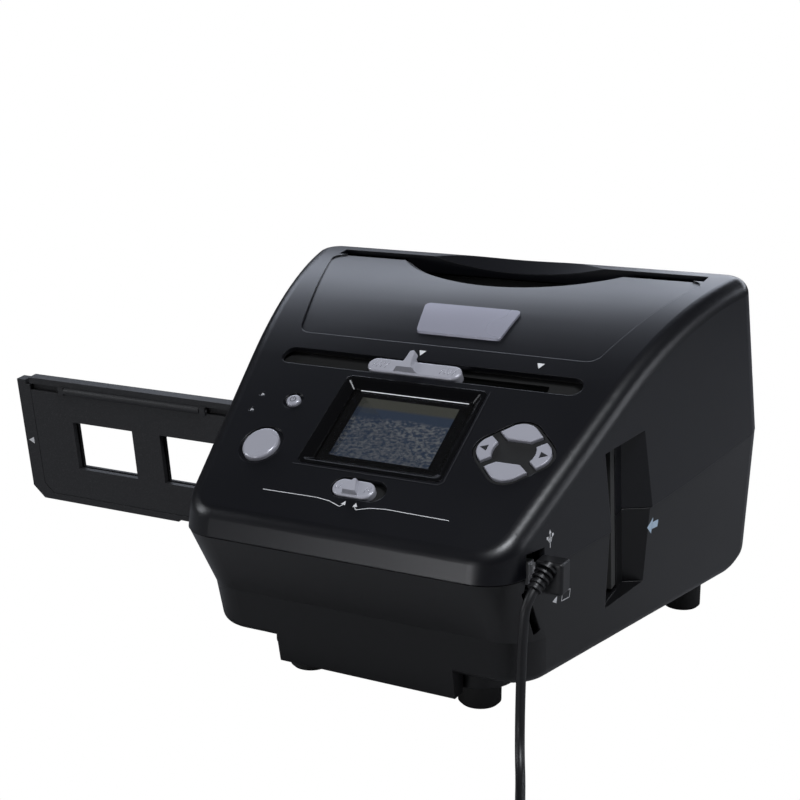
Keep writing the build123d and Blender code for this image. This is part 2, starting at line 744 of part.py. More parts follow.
def key_outline(angle, grow=0.0):
    """One key of the pad: a sector of a soft diamond, cut straight or round at its inner end."""
    wide = angle in (90, 270)
    half_turn = radians(KEY_WIDE_TURN if wide else KEY_NARROW_TURN)
    apex_out = (KEY_WIDE_APEX if wide else KEY_NARROW_APEX) - grow / sin(half_turn)
    apex = (PAD_CENTRE[0] + apex_out * cos(radians(angle)), PAD_CENTRE[1] + apex_out * sin(radians(angle)))
    reach = 40.0
    sector = [apex]
    for turn in (-half_turn, half_turn):
        heading = radians(angle) + turn
        sector.append((apex[0] + reach * cos(heading), apex[1] + reach * sin(heading)))
    size = KEY_SQUARE + 2 * grow
    with BuildSketch() as outline:
        with BuildLine():
            Polyline(*sector, close=True)
        make_face()
        with Locations(Location((*PAD_CENTRE, 0), (0, 0, PAD_TURN))):
            RectangleRounded(size, size, KEY_ROUND + grow, mode=Mode.INTERSECT)
        if wide:
            with Locations(PAD_CENTRE):
                Rectangle(60, 2 * (KEY_CHORD - grow), mode=Mode.SUBTRACT)
        else:
            with Locations(PAD_CENTRE):
                Circle(PAD_EYE - grow, mode=Mode.SUBTRACT)
    return outline.sketch


def make_key(angle):
    """A key of the ring with its retaining flange and stem."""
    turn = radians(angle)
    stem = (PAD_CENTRE[0] + KEY_STEM * cos(turn), PAD_CENTRE[1] + KEY_STEM * sin(turn))
    with BuildPart() as key:
        add(panel_prism(key_outline(angle), -4.2, KEY_PROUD).part)
        chamfer(key.faces().sort_by(Axis(PANEL.origin, PANEL.z_dir))[-1].edges(), 0.35)
        add(panel_prism(key_outline(angle, 0.9), -5.1, -4.2).part)
        add(panel_prism(oval(3, 3, stem), KEY_FOOT, -5.1).part)
    return key


def make_round_button(size, centre, proud, flange):
    """A separate panel button: domed cap, flange under the cover, stem."""
    with BuildPart() as button:
        add(panel_prism(oval(*size, centre), -3.0, proud).part)
        fillet(button.faces().sort_by(Axis(PANEL.origin, PANEL.z_dir))[-1].edges(), min(1.2, proud + 0.6))
        add(panel_prism(oval(size[0] + flange, size[1] + flange, centre), -4.2, -3.0).part)
        add(panel_prism(oval(3, 3, centre), KEY_FOOT, -4.2).part)
    return button


def make_key_board(u_span, v_span, switches):
    """Small circuit board under some of the keys, with a tact switch below each."""
    with BuildPart() as board:
        centre = ((u_span[0] + u_span[1]) / 2, (v_span[0] + v_span[1]) / 2)
        add(panel_prism(soft_rectangle(u_span[1] - u_span[0], v_span[1] - v_span[0], 1.5, centre), BOARD_N - 1.6, BOARD_N).part)
        for spot in switches:
            add(panel_prism(soft_rectangle(5.2, 5.2, 0.5, spot), BOARD_N, KEY_FOOT - KEY_TRAVEL - 0.1).part)
    return board


def make_indicator_lenses():
    """Two triangular light windows."""
    with BuildPart() as lenses:
        for spot in LAMP_MARKS:
            add(panel_prism(triangle(LAMP_MARK_SIZE - 0.1, spot, 90), -2.6, -0.25).part)
    return lenses


def make_slider_knob():
    """Silver knob in the long groove: a low bar with an upright pointer, and a shank."""
    middle = (KNOB_LEFT + KNOB_RIGHT) / 2
    with BuildPart() as knob:
        add(panel_prism(stadium(KNOB_RIGHT - KNOB_LEFT, KNOB_HEIGHT, (middle, 0.2)), -4.4, KNOB_PROUD).part)
        fillet(knob.faces().sort_by(Axis(PANEL.origin, PANEL.z_dir))[-1].edges(), 1.2)
        with BuildSketch(PANEL.offset(KNOB_PROUD - 1.3)) as pointer:
            with BuildLine():
                low = Line((POINTER_U - 8.5, -3.6), (POINTER_U + 8.5, -3.6))
                right = Bezier(low @ 1, (POINTER_U + 3.0, -2.8), (POINTER_U + 2.6, 1.5), (POINTER_U + 2.4, 7.0))
                tip = ThreePointArc(right @ 1, (POINTER_U, 9.4), (POINTER_U - 2.4, 7.0))
                Bezier(tip @ 1, (POINTER_U - 2.6, 1.5), (POINTER_U - 3.0, -2.8), low @ 0)
            make_face()
        extrude(amount=POINTER_PROUD + 1.3, taper=RIDGE_TAPER)
        with BuildSketch(PANEL.offset(KNOB_PROUD - 3)):
            with Locations((POINTER_U, (GROOVE_SIZE / 2 + 12) / 2 + 0.2)):
                Rectangle(12, 12 - GROOVE_SIZE / 2)
        extrude(amount=3 - KNOB_PROUD + POINTER_CLEAR, mode=Mode.SUBTRACT)
        add(panel_prism(soft_rectangle(12, 5.2, 0.8, (SHANK_U, 0)), -SHANK_END, -4.4).part)
    return knob


def make_slider_track():
    """Dark plate under the groove with a slit for the knob's shank."""
    with BuildPart() as track:
        add(panel_prism(soft_rectangle(158, 16.8, 2, (0, 0.6)), -6.4, -4.7).part)
        with BuildSketch(PANEL.offset(-4.7)):
            with Locations((0, 0.6)):
                RectangleRounded(158, 16.8, 2)
                RectangleRounded(154, 13.2, 2, mode=Mode.SUBTRACT)
        extrude(amount=4.7 - WALL - 0.1)
        slit = soft_rectangle(KNOB_TRAVEL + 12 + 2, 6.4, 1, (SHANK_U + KNOB_TRAVEL / 2, 0))
        add(panel_prism(slit, -10, 0).part, mode=Mode.SUBTRACT)
        add(INNER_TOP.part, mode=Mode.INTERSECT)
    return track


def make_focus_switch():
    """Small silver switch with a ridge, and its shank."""
    u, v = SWITCH_REST, SWITCH_CENTRE[1]
    with BuildPart() as switch:
        add(panel_prism(stadium(SWITCH_KNOB[0], SWITCH_KNOB[1], (u, v)), -3.0, 0.3).part)
        fillet(switch.faces().sort_by(Axis(PANEL.origin, PANEL.z_dir))[-1].edges(), 1.0)
        with BuildSketch(PANEL.offset(-0.8)):
            with BuildLine():
                Polyline((u - 4.2, v - 4.0), (u + 4.2, v - 4.0), (u + 1.2, v + 4.2), (u - 1.2, v + 4.2), close=True)
            make_face()
        extrude(amount=3.4, taper=RIDGE_TAPER)
        add(panel_prism(soft_rectangle(4, 4, 0.5, (u, v)), -9.5, -3.0).part)
    return switch


def make_switch_track():
    """Dark plate under the focus switch with a slit for its shank."""
    v = SWITCH_CENTRE[1]
    with BuildPart() as track:
        add(panel_prism(soft_rectangle(32, 17, 2, (SWITCH_CENTRE[0], v)), -5.0, -3.3).part)
        with BuildSketch(PANEL.offset(-3.3)):
            with Locations((SWITCH_CENTRE[0], v)):
                RectangleRounded(32, 17, 2)
                RectangleRounded(28.5, 13.5, 2, mode=Mode.SUBTRACT)
        extrude(amount=3.3 - WALL - 0.1)
        slit = soft_rectangle(SWITCH_TRAVEL + 4.6, 4.6, 0.5, (SWITCH_REST + SWITCH_TRAVEL / 2, v))
        add(panel_prism(slit, -10, 0).part, mode=Mode.SUBTRACT)
    return track


# ---- film path ----
def holder_outline(left, right, low, high, corner):
    """The holder's outline with two cut corners at the bottom."""
    with BuildSketch() as outline:
        with BuildLine():
            Polyline(
                (left, high),
                (right, high),
                (right, low + corner),
                (right - corner, low),
                (left + corner, low),
                (left, low + corner),
                close=True,
            )
        make_face()
    return outline.sketch


def window_grid(width, height):
    """The four slide windows, grown or shrunk alike."""
    with BuildSketch() as windows:
        for step in range(4):
            with Locations((FIRST_WINDOW + step * WINDOW_PITCH, 0)):
                Rectangle(width, height)
    return windows.sketch


def film_slab(outline, back_low, back_high):
    """A sketch in the film plane made solid between two depths behind its front face."""
    with BuildPart() as slab:
        with BuildSketch(FILM.offset(-back_high)):
            add(outline)
        extrude(amount=back_high - back_low)
    return slab


def x_rod(radius, x_low, x_high, up, back):
    """A rod along X at a place in the film plane's section."""
    centre = FILM.from_local_coords((0, up, -back))
    with BuildPart() as rod:
        with BuildSketch(Plane.YZ.offset(x_low)):
            with Locations((centre.Y, centre.Z)):
                Circle(radius)
        extrude(amount=x_high - x_low)
    return rod


def make_holder_base():
    """Back half of the slide holder, with the top rail, the grip end and the index notches."""
    with BuildPart() as base:
        whole = holder_outline(HOLDER_LEFT, HOLDER_RIGHT, HOLDER_BOTTOM, HOLDER_TOP, 6.5)
        add(film_slab(whole, 0, HOLDER_THICK).part)
        lid = holder_outline(LID_LEFT - 0.25, LID_RIGHT + 0.25, LID_BOTTOM - 0.25, LID_TOP + 3.6, 5)
        add(film_slab(lid, -5, LID_THICK + 0.2).part, mode=Mode.SUBTRACT)
        add(film_slab(window_grid(WINDOW_WIDTH, WINDOW_HEIGHT), -5, 20).part, mode=Mode.SUBTRACT)
        add(film_slab(window_grid(SLIDE_MOUNT, SLIDE_MOUNT), -5, LID_THICK + 1.6).part, mode=Mode.SUBTRACT)
        notch_x = HOLDER_LEFT + 5.5
        notch = (notch_x, notch_x + 2.6)
        add(tilted_box(FILM, notch, (HOLDER_TOP - 4.2, HOLDER_TOP + 1), (-1, 20)).part, mode=Mode.SUBTRACT)
        add(tilted_box(FILM, (HOLDER_LEFT - 1, notch_x), (HOLDER_TOP - 1.6, HOLDER_TOP + 1), (-1, 20)).part, mode=Mode.SUBTRACT)
        for step in range(4):
            x = FIRST_WINDOW + (step + 0.5) * WINDOW_PITCH + 18
            add(tilted_box(FILM, (x - 4, x + 4), (HOLDER_BOTTOM - 1, HOLDER_BOTTOM + 1.1), (-1, 20)).part, mode=Mode.SUBTRACT)
        for low, high in HINGES:
            add(tilted_box(FILM, (low - 3.5, low - 0.2), (HINGE_UP - 1.9, LID_TOP + 3.7), (-1.2, LID_THICK + 0.3)).part)
            add(tilted_box(FILM, (high + 0.2, high + 3.5), (HINGE_UP - 1.9, LID_TOP + 3.7), (-1.2, LID_THICK + 0.3)).part)
            add(x_rod(PIN_RADIUS, low - 4, high + 4, HINGE_UP, HINGE_BACK).part, mode=Mode.SUBTRACT)
    return base


def make_holder_lid():
    """Front half of the slide holder, with its two hinge barrels."""
    with BuildPart() as lid:
        outline = holder_outline(LID_LEFT, LID_RIGHT, LID_BOTTOM, LID_TOP, 5)
        add(film_slab(outline, 0, LID_THICK).part)
        add(film_slab(window_grid(WINDOW_WIDTH, WINDOW_HEIGHT), -5, 20).part, mode=Mode.SUBTRACT)
        for low, high in HINGES:
            add(tilted_box(FILM, (low - 3.7, low), (HINGE_UP - 2.2, LID_TOP + 1), (-5, LID_THICK + 1)).part, mode=Mode.SUBTRACT)
            add(tilted_box(FILM, (high, high + 3.7), (HINGE_UP - 2.2, LID_TOP + 1), (-5, LID_THICK + 1)).part, mode=Mode.SUBTRACT)
            add(x_rod(BARREL_RADIUS, low, high, HINGE_UP, HINGE_BACK).part)
            add(x_rod(PIN_RADIUS, low - 1, high + 1, HINGE_UP, HINGE_BACK).part, mode=Mode.SUBTRACT)
    return lid


def make_hinge_pins():
    """Two thin pins through the holder's hinge barrels."""
    with BuildPart() as pins:
        for low, high in HINGES:
            add(x_rod(PIN_RADIUS, low - 3.4, high + 3.4, HINGE_UP, HINGE_BACK).part)
    return pins


def make_film_frame():
    """Frame across the casing: two rails for the holder, the gate and the rod brackets."""
    span = (-FRAME_HALF, FRAME_HALF)
    low, high = HOLDER_BOTTOM - FIT, HOLDER_TOP + FIT
    back = HOLDER_THICK + FIT
    with BuildPart() as frame:
        add(tilted_box(FILM, span, (low - 7, high + 3), (-4.4, -1.9)).part)
        add(tilted_box(FILM, (-27, 27), (-20, 20), (-10, 0)).part, mode=Mode.SUBTRACT)
        add(tilted_box(FILM, span, (low - 7, low), (-4.4, back + 2.5)).part)
        add(tilted_box(FILM, span, (low - 7, low + 2.5), (-4.4, -FIT)).part)
        add(tilted_box(FILM, span, (low - 7, low + 3), (back, back + 2.5)).part)
        add(tilted_box(FILM, span, (high, high + 3), (-4.4, back + 2.5)).part)
        add(tilted_box(FILM, span, (high - 1.8, high + 3), (-4.4, -FIT)).part)
        add(tilted_box(FILM, span, (high - 3, high + 3), (back, back + 2.5)).part)
        for side in SIDES:
            ends = (ROD_END - 3.6, ROD_END) if side > 0 else (-ROD_END, 3.6 - ROD_END)
            add(tilted_box(FILM, ends, (low - 7, high + 3), (back, ROD_BACK + 4)).part)
            for up in (ROD_UP, -ROD_UP):
                add(x_rod(ROD_RADIUS, ends[0] - 1, ends[1] + 1, up, ROD_BACK).part, mode=Mode.SUBTRACT)
            foot = (50, 60) if side > 0 else (-60, -50)
            add(box_between((foot[0], -48, BASE_Z + WALL), (foot[1], -39.5, 40)).part)
    return frame


def make_guide_rods():
    """Two steel rods that the backlight slides on."""
    with BuildPart() as rods:
        for up in (ROD_UP, -ROD_UP):
            add(x_rod(ROD_RADIUS, -ROD_END, ROD_END, up, ROD_BACK).part)
    return rods


def make_backlight_housing():
    """Sliding box of the backlight, with its bearings and the arm up to the slider knob."""
    with BuildPart() as housing:
        add(tilted_box(FILM, (-LIGHT_HALF, LIGHT_HALF), (-19, 19), (9.5, 20)).part)
        add(tilted_box(FILM, (-LIGHT_HALF, LIGHT_HALF), (19, ROD_UP + 4.5), (11, 19)).part)
        add(tilted_box(FILM, (-LIGHT_HALF, LIGHT_HALF), (-ROD_UP - 4.5, -19), (11, 19)).part)
        add(tilted_box(FILM, (SHANK_U - 6, SHANK_U + 6), (22, 36), (11, 29)).part)
        add(panel_prism(soft_rectangle(12, 5.2, 0.8, (SHANK_U, 0)), -30, -SHANK_END).part)
        add(tilted_box(FILM, (1.6 - LIGHT_HALF, LIGHT_HALF - 1.6), (-17.4, 17.4), (0, 18.4)).part, mode=Mode.SUBTRACT)
        for up in (ROD_UP, -ROD_UP):
            add(x_rod(ROD_RADIUS + RUN_FIT, -40, 40, up, ROD_BACK).part, mode=Mode.SUBTRACT)
    return housing


def make_backlight_diffuser():
    """White sheet on the front of the backlight."""
    half = LIGHT_HALF - 1.7
    return tilted_box(FILM, (-half, half), (-17.3, 17.3), (9.6, 11.4))


def make_backlight_board():
    """Lamp board at the back of the backlight, with its grid of white lamps."""
    half = LIGHT_HALF - 1.7
    with BuildPart() as board:
        add(tilted_box(FILM, (-half, half), (-17.3, 17.3), (16.8, 18.4)).part)
        with BuildSketch(FILM.offset(-16.8)):
            with GridLocations(11, 10, 3, 3):
                Rectangle(3.5, 2.8)
        extrude(amount=1.2)
    return board


def make_port_strips():
    """Pale strips that close the back of each film port."""
    with BuildPart() as strips:
        for side in SIDES:
            span = (80.5, PORT_X - 0.4) if side > 0 else (0.4 - PORT_X, -80.5)
            add(tilted_box(FILM, span, (-34, 34), (11, PORT_BACK)).part)
    return strips


# ---- camera ----
def make_camera_bracket():
    """Post from the belly floor with the bore that the lens barrel slides in."""
    with BuildPart() as bracket:
        add(tilted_box(FILM, (-11, 11), (-11, 11), (-57, -49)).part)
        add(box_between((-11, -98, BELLY_Z + WALL), (11, -91, 66)).part)
        for side in SIDES:
            span = (9, 12) if side > 0 else (-12, -9)
            add(tilted_box(FILM, span, (-11, 11), (-SENSOR_DIST, -49)).part)
        with BuildSketch(FILM.offset(40)):
            Circle(LENS_RADIUS + RUN_FIT)
        extrude(amount=30, mode=Mode.SUBTRACT)
    return bracket


def make_lens_barrel():
    """Lens barrel with a front glass seat, a stop and a step for grip."""
    with BuildPart() as barrel:
        with BuildSketch(FILM.offset(46.5)):
            Circle(LENS_RADIUS)
        extrude(amount=12.5)
        with BuildSketch(FILM.offset(46.5)):
            Circle(4.2)
        extrude(amount=12.5, mode=Mode.SUBTRACT)
    return barrel


def make_lens_glass():
    """Front lens in the barrel."""
    with BuildPart() as glass:
        with BuildSketch(FILM.offset(47.2)):
            Circle(4.2)
        extrude(amount=2.2)
    return glass


def make_sensor_board():
    """Image sensor on its board, square to the lens."""
    with BuildPart() as board:
        add(tilted_box(FILM, (-14, 14), (-12, 12), (-SENSOR_DIST - 1.6, -SENSOR_DIST)).part)
        add(tilted_box(FILM, (-5, 5), (-4.5, 4.5), (-SENSOR_DIST, 1.4 - SENSOR_DIST)).part)
    return board


# ---- photo path ----
def make_photo_guide():
    """Back plate, side rails and bottom stop that a print in its tray stands in."""
    low, high = -140.0, -9.5
    half = GUIDE_GAP / 2
    with BuildPart() as guide:
        add(tilted_box(PHOTO, (-103, 103), (low, high), (half, half + 2)).part)
        add(tilted_box(PHOTO, (-103, 103), (low, low + 3), (-half - 2, half)).part)
        for side in SIDES:
            wall = (100.8, 103) if side > 0 else (-103, -100.8)
            lip = (94, 103) if side > 0 else (-103, -94)
            foot = (80, 92) if side > 0 else (-92, -80)
            add(tilted_box(PHOTO, wall, (low, high), (-half - 2, half)).part)
            add(tilted_box(PHOTO, lip, (low, high), (-half - 2, -half)).part)
            add(box_between((foot[0], 69.5, 30), (foot[1], 75.5, 36)).part)
    return guide


def make_photo_lamps():
    """Two lamp strips that light a print from the sides."""
    with BuildPart() as lamps:
        for side in SIDES:
            span = (96.0, 97.6) if side > 0 else (-97.6, -96.0)
            add(box_between((span[0], 8, BASE_Z + 5.5), (span[1], 22, 122)).part)
            face = (94.8, 96.0) if side > 0 else (-96.0, -94.8)
            for step in range(7):
                z = 42 + step * 12
                add(box_between((face[0], 13, z), (face[1], 17, z + 4)).part)
    return lamps


def make_lamp_covers():
    """White covers over the lamp strips."""
    with BuildPart() as covers:
        for side in SIDES:
            span = (91.4, 96.0) if side > 0 else (-96.0, -91.4)
            hollow = (92.8, 96.1) if side > 0 else (-96.1, -92.8)
            add(box_between((span[0], 10, 38), (span[1], 20, 120)).part)
            add(box_between((hollow[0], 11.4, 39.4), (hollow[1], 18.6, 118.6)).part, mode=Mode.SUBTRACT)
    return covers


# ---- electronics ----
def make_main_board():
    """Main circuit board with its processor, memory and connectors."""
    with BuildPart() as board:
        add(box_between((-60, -18, MAIN_Z), (60, 48, MAIN_Z + 1.6)).part)
        chips = ((-14, 0, 16, 16, 1.4), (16, 10, 10, 14, 1.1), (-38, 20, 12, 8, 1.2), (38, -6, 7, 7, 1.0))
        for x, y, wide, deep, tall in chips:
            add(box_between((x, y, MAIN_Z + 1.6), (x + wide, y + deep, MAIN_Z + 1.6 + tall)).part)
        for x in (-50, -30, 34):
            add(box_between((x, 38, MAIN_Z + 1.6), (x + 12, 44, MAIN_Z + 6)).part)
        for x, y in MAIN_HOLES:
            with Locations((x, y, MAIN_Z)):
                Cylinder(1.4, 10, mode=Mode.SUBTRACT)
    return board


def make_board_screws():
    """Screws that hold the main board to its posts."""
    with BuildPart() as screws:
        for x, y in MAIN_HOLES:
            with Locations((x, y, MAIN_Z + 1.6 + 0.8)):
                Cylinder(2.3, 1.6)
            with Locations((x, y, MAIN_Z - 1.2)):
                Cylinder(1.2, 5.6)
    return screws


def make_port_board():
    """Small upright board that carries the USB socket."""
    return box_between((70.5, -114, 74.2), (72.1, -90, 89.5))


def make_usb_socket():
    """Metal shell of the USB socket, facing the side wall."""
    with BuildPart() as socket:
        add(box_between((72.1, USB_Y - 2.7, USB_Z - 4.6), (79.0, USB_Y + 2.7, USB_Z + 4.6)).part)
        add(box_between((73.5, USB_Y - 2.1, USB_Z - 4.0), (90, USB_Y + 2.1, USB_Z + 4.0)).part, mode=Mode.SUBTRACT)
    return socket


def make_card_socket():
    """Socket behind the card slot, leaning with it."""
    with BuildPart() as socket:
        add(card_block(5.4, 28.4, 48, 70).part)
        add(card_block(3.0, 25.0, 50, 80).part, mode=Mode.SUBTRACT)
    return socket


def card_block(thick, long, x_low, x_high):
    """A block square to the card slot between two X positions."""
    lean = radians(CARD_LEAN)
    place = Plane(origin=(x_low, CARD_Y, CARD_Z), x_dir=(0, sin(lean), -cos(lean)), z_dir=(1, 0, 0))
    with BuildPart() as block:
        with BuildSketch(place):
            Rectangle(long, thick)
        extrude(amount=x_high - x_low)
    return block


# ---- USB cord and its plugs ----
def unit(vector):
    """The vector at length one."""
    return vector / vector.length


def block_with_soft_edges(low, high, radius):
    """A moulded block with rounded edges."""
    with BuildPart() as block:
        add(box_between(low, high).part)
        fillet(block.edges(), radius)
    return block


def make_usb_plug():
    """Right-angle plug: moulded body and a ribbed strain relief that the cord leaves by."""
    start, end = Vector(*RELIEF_START), Vector(*CORD_ROUTE[0])
    axis = unit(end - start)
    length = (end - start).length
    with BuildPart() as plug:
        add(block_with_soft_edges(PLUG_LOW, PLUG_HIGH, 1.4).part)
        for rib in range(RIB_COUNT + 1):
            at = start + axis * (length * rib / RIB_COUNT - 1.0)
            radius = 4.4 - 1.4 * rib / RIB_COUNT
            with BuildSketch(Plane(origin=at, z_dir=axis)):
                Circle(radius)
            extrude(amount=1.0)
        with BuildSketch(Plane(origin=start - axis * 3, z_dir=axis)):
            Circle(2.7)
        extrude(amount=length + 3)
    return plug


def make_plug_nose():
    """Metal nose of the plug, in its socket."""
    return box_between((75.0, USB_Y - 1.9, USB_Z - 3.7), (PLUG_LOW[0], USB_Y + 1.9, USB_Z + 3.7))


def route_radii(points):
    """Bend radius at each inner point: 0.45 of the shorter run over the tangent of half the turn."""
    radii = []
    for before, here, after in zip(points, points[1:], points[2:]):
        run_in, run_out = here - before, after - here
        half_turn = radians(run_in.get_angle(run_out)) / 2
        radii.append(0.45 * min(run_in.length, run_out.length) / tan(half_turn))
    return radii


def make_usb_cord():
    """The cord's free stretch: down from the plug and out along the table."""
    points = [Vector(*p) for p in CORD_ROUTE]
    radii = route_radii(points)
    print("cord bend radii", [round(r, 1) for r in radii])
    with BuildPart() as cord:
        with BuildLine() as path:
            FilletPolyline(*points, radius=radii)
        with BuildSketch(Plane(origin=points[0], z_dir=unit(points[1] - points[0]))):
            Circle(CORD_RADIUS)
        sweep(path=path.wires()[0])
    length = path.wires()[0].length
    print("cord length", round(length, 1), "volume ratio", cord.part.volume / (pi * CORD_RADIUS**2 * length))
    return cord


def coil_half_turns():
    """Ends of the coil's half turns, in its own frame: in on the table, then out on top."""
    step = COIL_PITCH / 2
    outer = [COIL_OUTER - step * k for k in range(COIL_STEPS + 1)]
    upper = [outer[-1] - 3.2] + [outer[-1] + 1.8 + step * k for k in range(COIL_STEPS + 1)]
    places = [(r, CORD_LOW) for r in outer] + [(r, CORD_LOW + COIL_PITCH) for r in upper]
    return [Vector(r * (-1) ** k, 0, z) for k, (r, z) in enumerate(places)]


def coil_plane():
    """The coil's frame, turned so that its first half turn carries on from the cord."""
    heading = unit(Vector(*CORD_ROUTE[-1]) - Vector(*CORD_ROUTE[-2]))
    side = Vector(-heading.Y, heading.X, 0)
    start = Vector(*CORD_ROUTE[-1]) + heading * 2 * CORD_RADIUS
    centre = start - side * COIL_OUTER
    return Plane(origin=(centre.X, centre.Y, 0), x_dir=side, z_dir=(0, 0, 1))


def coil_path():
    """The coil's centreline: straight ends, and half turns of two tangent arcs each."""
    ends = coil_half_turns()
    stub = Vector(0, 2 * CORD_RADIUS, 0)
    with BuildLine(mode=Mode.PRIVATE) as path:
        Line(ends[0] + stub, ends[0])
        for k in range(len(ends) - 1):
            ahead = Vector(0, -1 if k % 2 == 0 else 1, 0)
            across = ends[k + 1] - ends[k]
            middle = (ends[k] + ends[k + 1]) / 2 + ahead * (across.length / 2)
            TangentArc(ends[k], middle, tangent=ahead)
            TangentArc(middle, ends[k + 1], tangent=unit(across))
        leave = TangentArc(ends[-1], Vector(*COIL_LEAVES), tangent=Vector(0, -1, 0))
        Line(leave @ 1, leave @ 1 + (leave % 1) * 2 * CORD_RADIUS)
    return path.wires()[0].moved(coil_plane().location)


def make_usb_coil():
    """The rest of the cord, as one unbroken tube wound in loops."""
    path = coil_path()
    with BuildPart() as coil:
        with BuildSketch(Plane(origin=path @ 0, z_dir=path % 0)):
            Circle(CORD_RADIUS)
        sweep(path=path)
    count = 700
    spots = [path @ (k / count) for k in range(count + 1)]
    apart = path.length / count
    skip = int(4 * CORD_RADIUS / apart) + 1
    gap = min((a - b).length for k, a in enumerate(spots) for b in spots[k + skip :])
    print("coil length", round(path.length, 1), "least gap", round(gap - 2 * CORD_RADIUS, 2))
    print("coil volume ratio", coil.part.volume / (pi * CORD_RADIUS**2 * path.length))
    return coil


def far_plug_plane():
    """Where the coil ends: its place, with the way out along X."""
    path = coil_path()
    out = path % 1
    end = path @ 1
    return Plane(origin=(end.X, end.Y, FAR_PLUG_Z), x_dir=(out.X, out.Y, 0), z_dir=(0, 0, 1))


def make_far_plug():
    """Moulded body and strain relief of the plug at the cord's far end."""
    plane = far_plug_plane()
    with BuildPart() as plug:
        with BuildSketch(Plane(origin=plane.origin, z_dir=plane.x_dir)):
            Circle(2.8)
        extrude(amount=9)
        with BuildSketch(plane.offset(-FAR_PLUG_THICK / 2)):
            with Locations((8 + FAR_PLUG_LONG / 2, 0)):
                RectangleRounded(FAR_PLUG_LONG, FAR_PLUG_WIDE, 2)
        extrude(amount=FAR_PLUG_THICK)
    return plug


def make_far_plug_shell():
    """Metal mouth of the far plug."""
    plane = far_plug_plane()
    with BuildPart() as shell:
        with BuildSketch(plane.offset(-2.25)):
            with Locations((8 + FAR_PLUG_LONG + 9, 0)):
                Rectangle(18, 12)
        extrude(amount=4.5)
        with BuildSketch(plane.offset(-1.85)):
            with Locations((8 + FAR_PLUG_LONG + 10, 0)):
                Rectangle(18, 11.2)
        extrude(amount=3.7, mode=Mode.SUBTRACT)
        with BuildSketch(plane.offset(-0.2)):
            with Locations((8 + FAR_PLUG_LONG + 8.5, 0)):
                Rectangle(17, 11.2)
        extrude(amount=2.05)
    return shell


save(make_top_cover().part, "top_cover")
save(make_bottom_cover().part, "bottom_cover")
save(make_name_plate().part, "name_plate")
save(make_feet().part, "rubber_feet")
save(make_cover_screws().part, "cover_screws")
save(make_display_bezel().part, "display_bezel")
save(make_display_window().part, "display_window")
save(make_lcd_module().part, "lcd_module")
save(make_key_surround().part, "key_surround")
for key_name, key_angle in KEY_ANGLES.items():
    save(make_key(key_angle).part, key_name)
save(make_round_button(SCAN_SIZE, SCAN_CENTRE, 1.4, 5).part, "scan_button")
save(make_round_button((POWER_SIZE, POWER_SIZE), POWER_CENTRE, 0.9, 4).part, "power_button")
save(make_key_board((-76, -42), (-68, -20), (SCAN_CENTRE, POWER_CENTRE)).part, "left_key_board")
pad_switches = [
    (PAD_CENTRE[0] + KEY_STEM * cos(radians(a)), PAD_CENTRE[1] + KEY_STEM * sin(radians(a)))
    for a in KEY_ANGLES.values()
]
save(make_key_board((40, 76), (-60, -23), pad_switches).part, "right_key_board")
save(make_indicator_lenses().part, "indicator_lenses")
save(make_slider_knob().part, "slider_knob")
save(make_slider_track().part, "slider_track")
save(make_focus_switch().part, "focus_switch")
save(make_switch_track().part, "switch_track")
save(make_holder_base().part, "holder_base")
save(make_holder_lid().part, "holder_lid")
save(make_hinge_pins().part, "hinge_pins")
save(make_film_frame().part, "film_frame")
save(make_guide_rods().part, "guide_rods")
save(make_backlight_housing().part, "backlight_housing")
save(make_backlight_diffuser().part, "backlight_diffuser")
save(make_backlight_board().part, "backlight_board")
save(make_port_strips().part, "port_strips")
save(make_camera_bracket().part, "camera_bracket")
save(make_lens_barrel().part, "lens_barrel")
save(make_lens_glass().part, "lens_glass")
save(make_sensor_board().part, "sensor_board")
save(make_photo_guide().part, "photo_guide")
save(make_photo_lamps().part, "photo_lamps")
save(make_lamp_covers().part, "lamp_covers")
save(make_main_board().part, "main_board")
save(make_board_screws().part, "board_screws")
save(make_port_board().part, "port_board")
save(make_usb_socket().part, "usb_socket")
save(make_card_socket().part, "card_socket")
save(make_usb_plug().part, "usb_plug")
save(make_plug_nose().part, "plug_nose")
save(make_usb_cord().part, "usb_cord")
save(make_usb_coil().part, "usb_coil")
save(make_far_plug().part, "far_plug")
save(make_far_plug_shell().part, "far_plug_shell")
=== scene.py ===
"""Looks of the desktop film scanner: finishes, printed marks, display picture, cord and lights.

Everything is in metres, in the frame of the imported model: +Z up, -Y to the user, origin on the
table between the four feet. Sizes named with `_mm` and places on a face are millimetres.
"""

import logging
import math
from dataclasses import dataclass
from enum import Enum
from typing import Iterable, Sequence

import bpy
from mathutils import Matrix, Vector

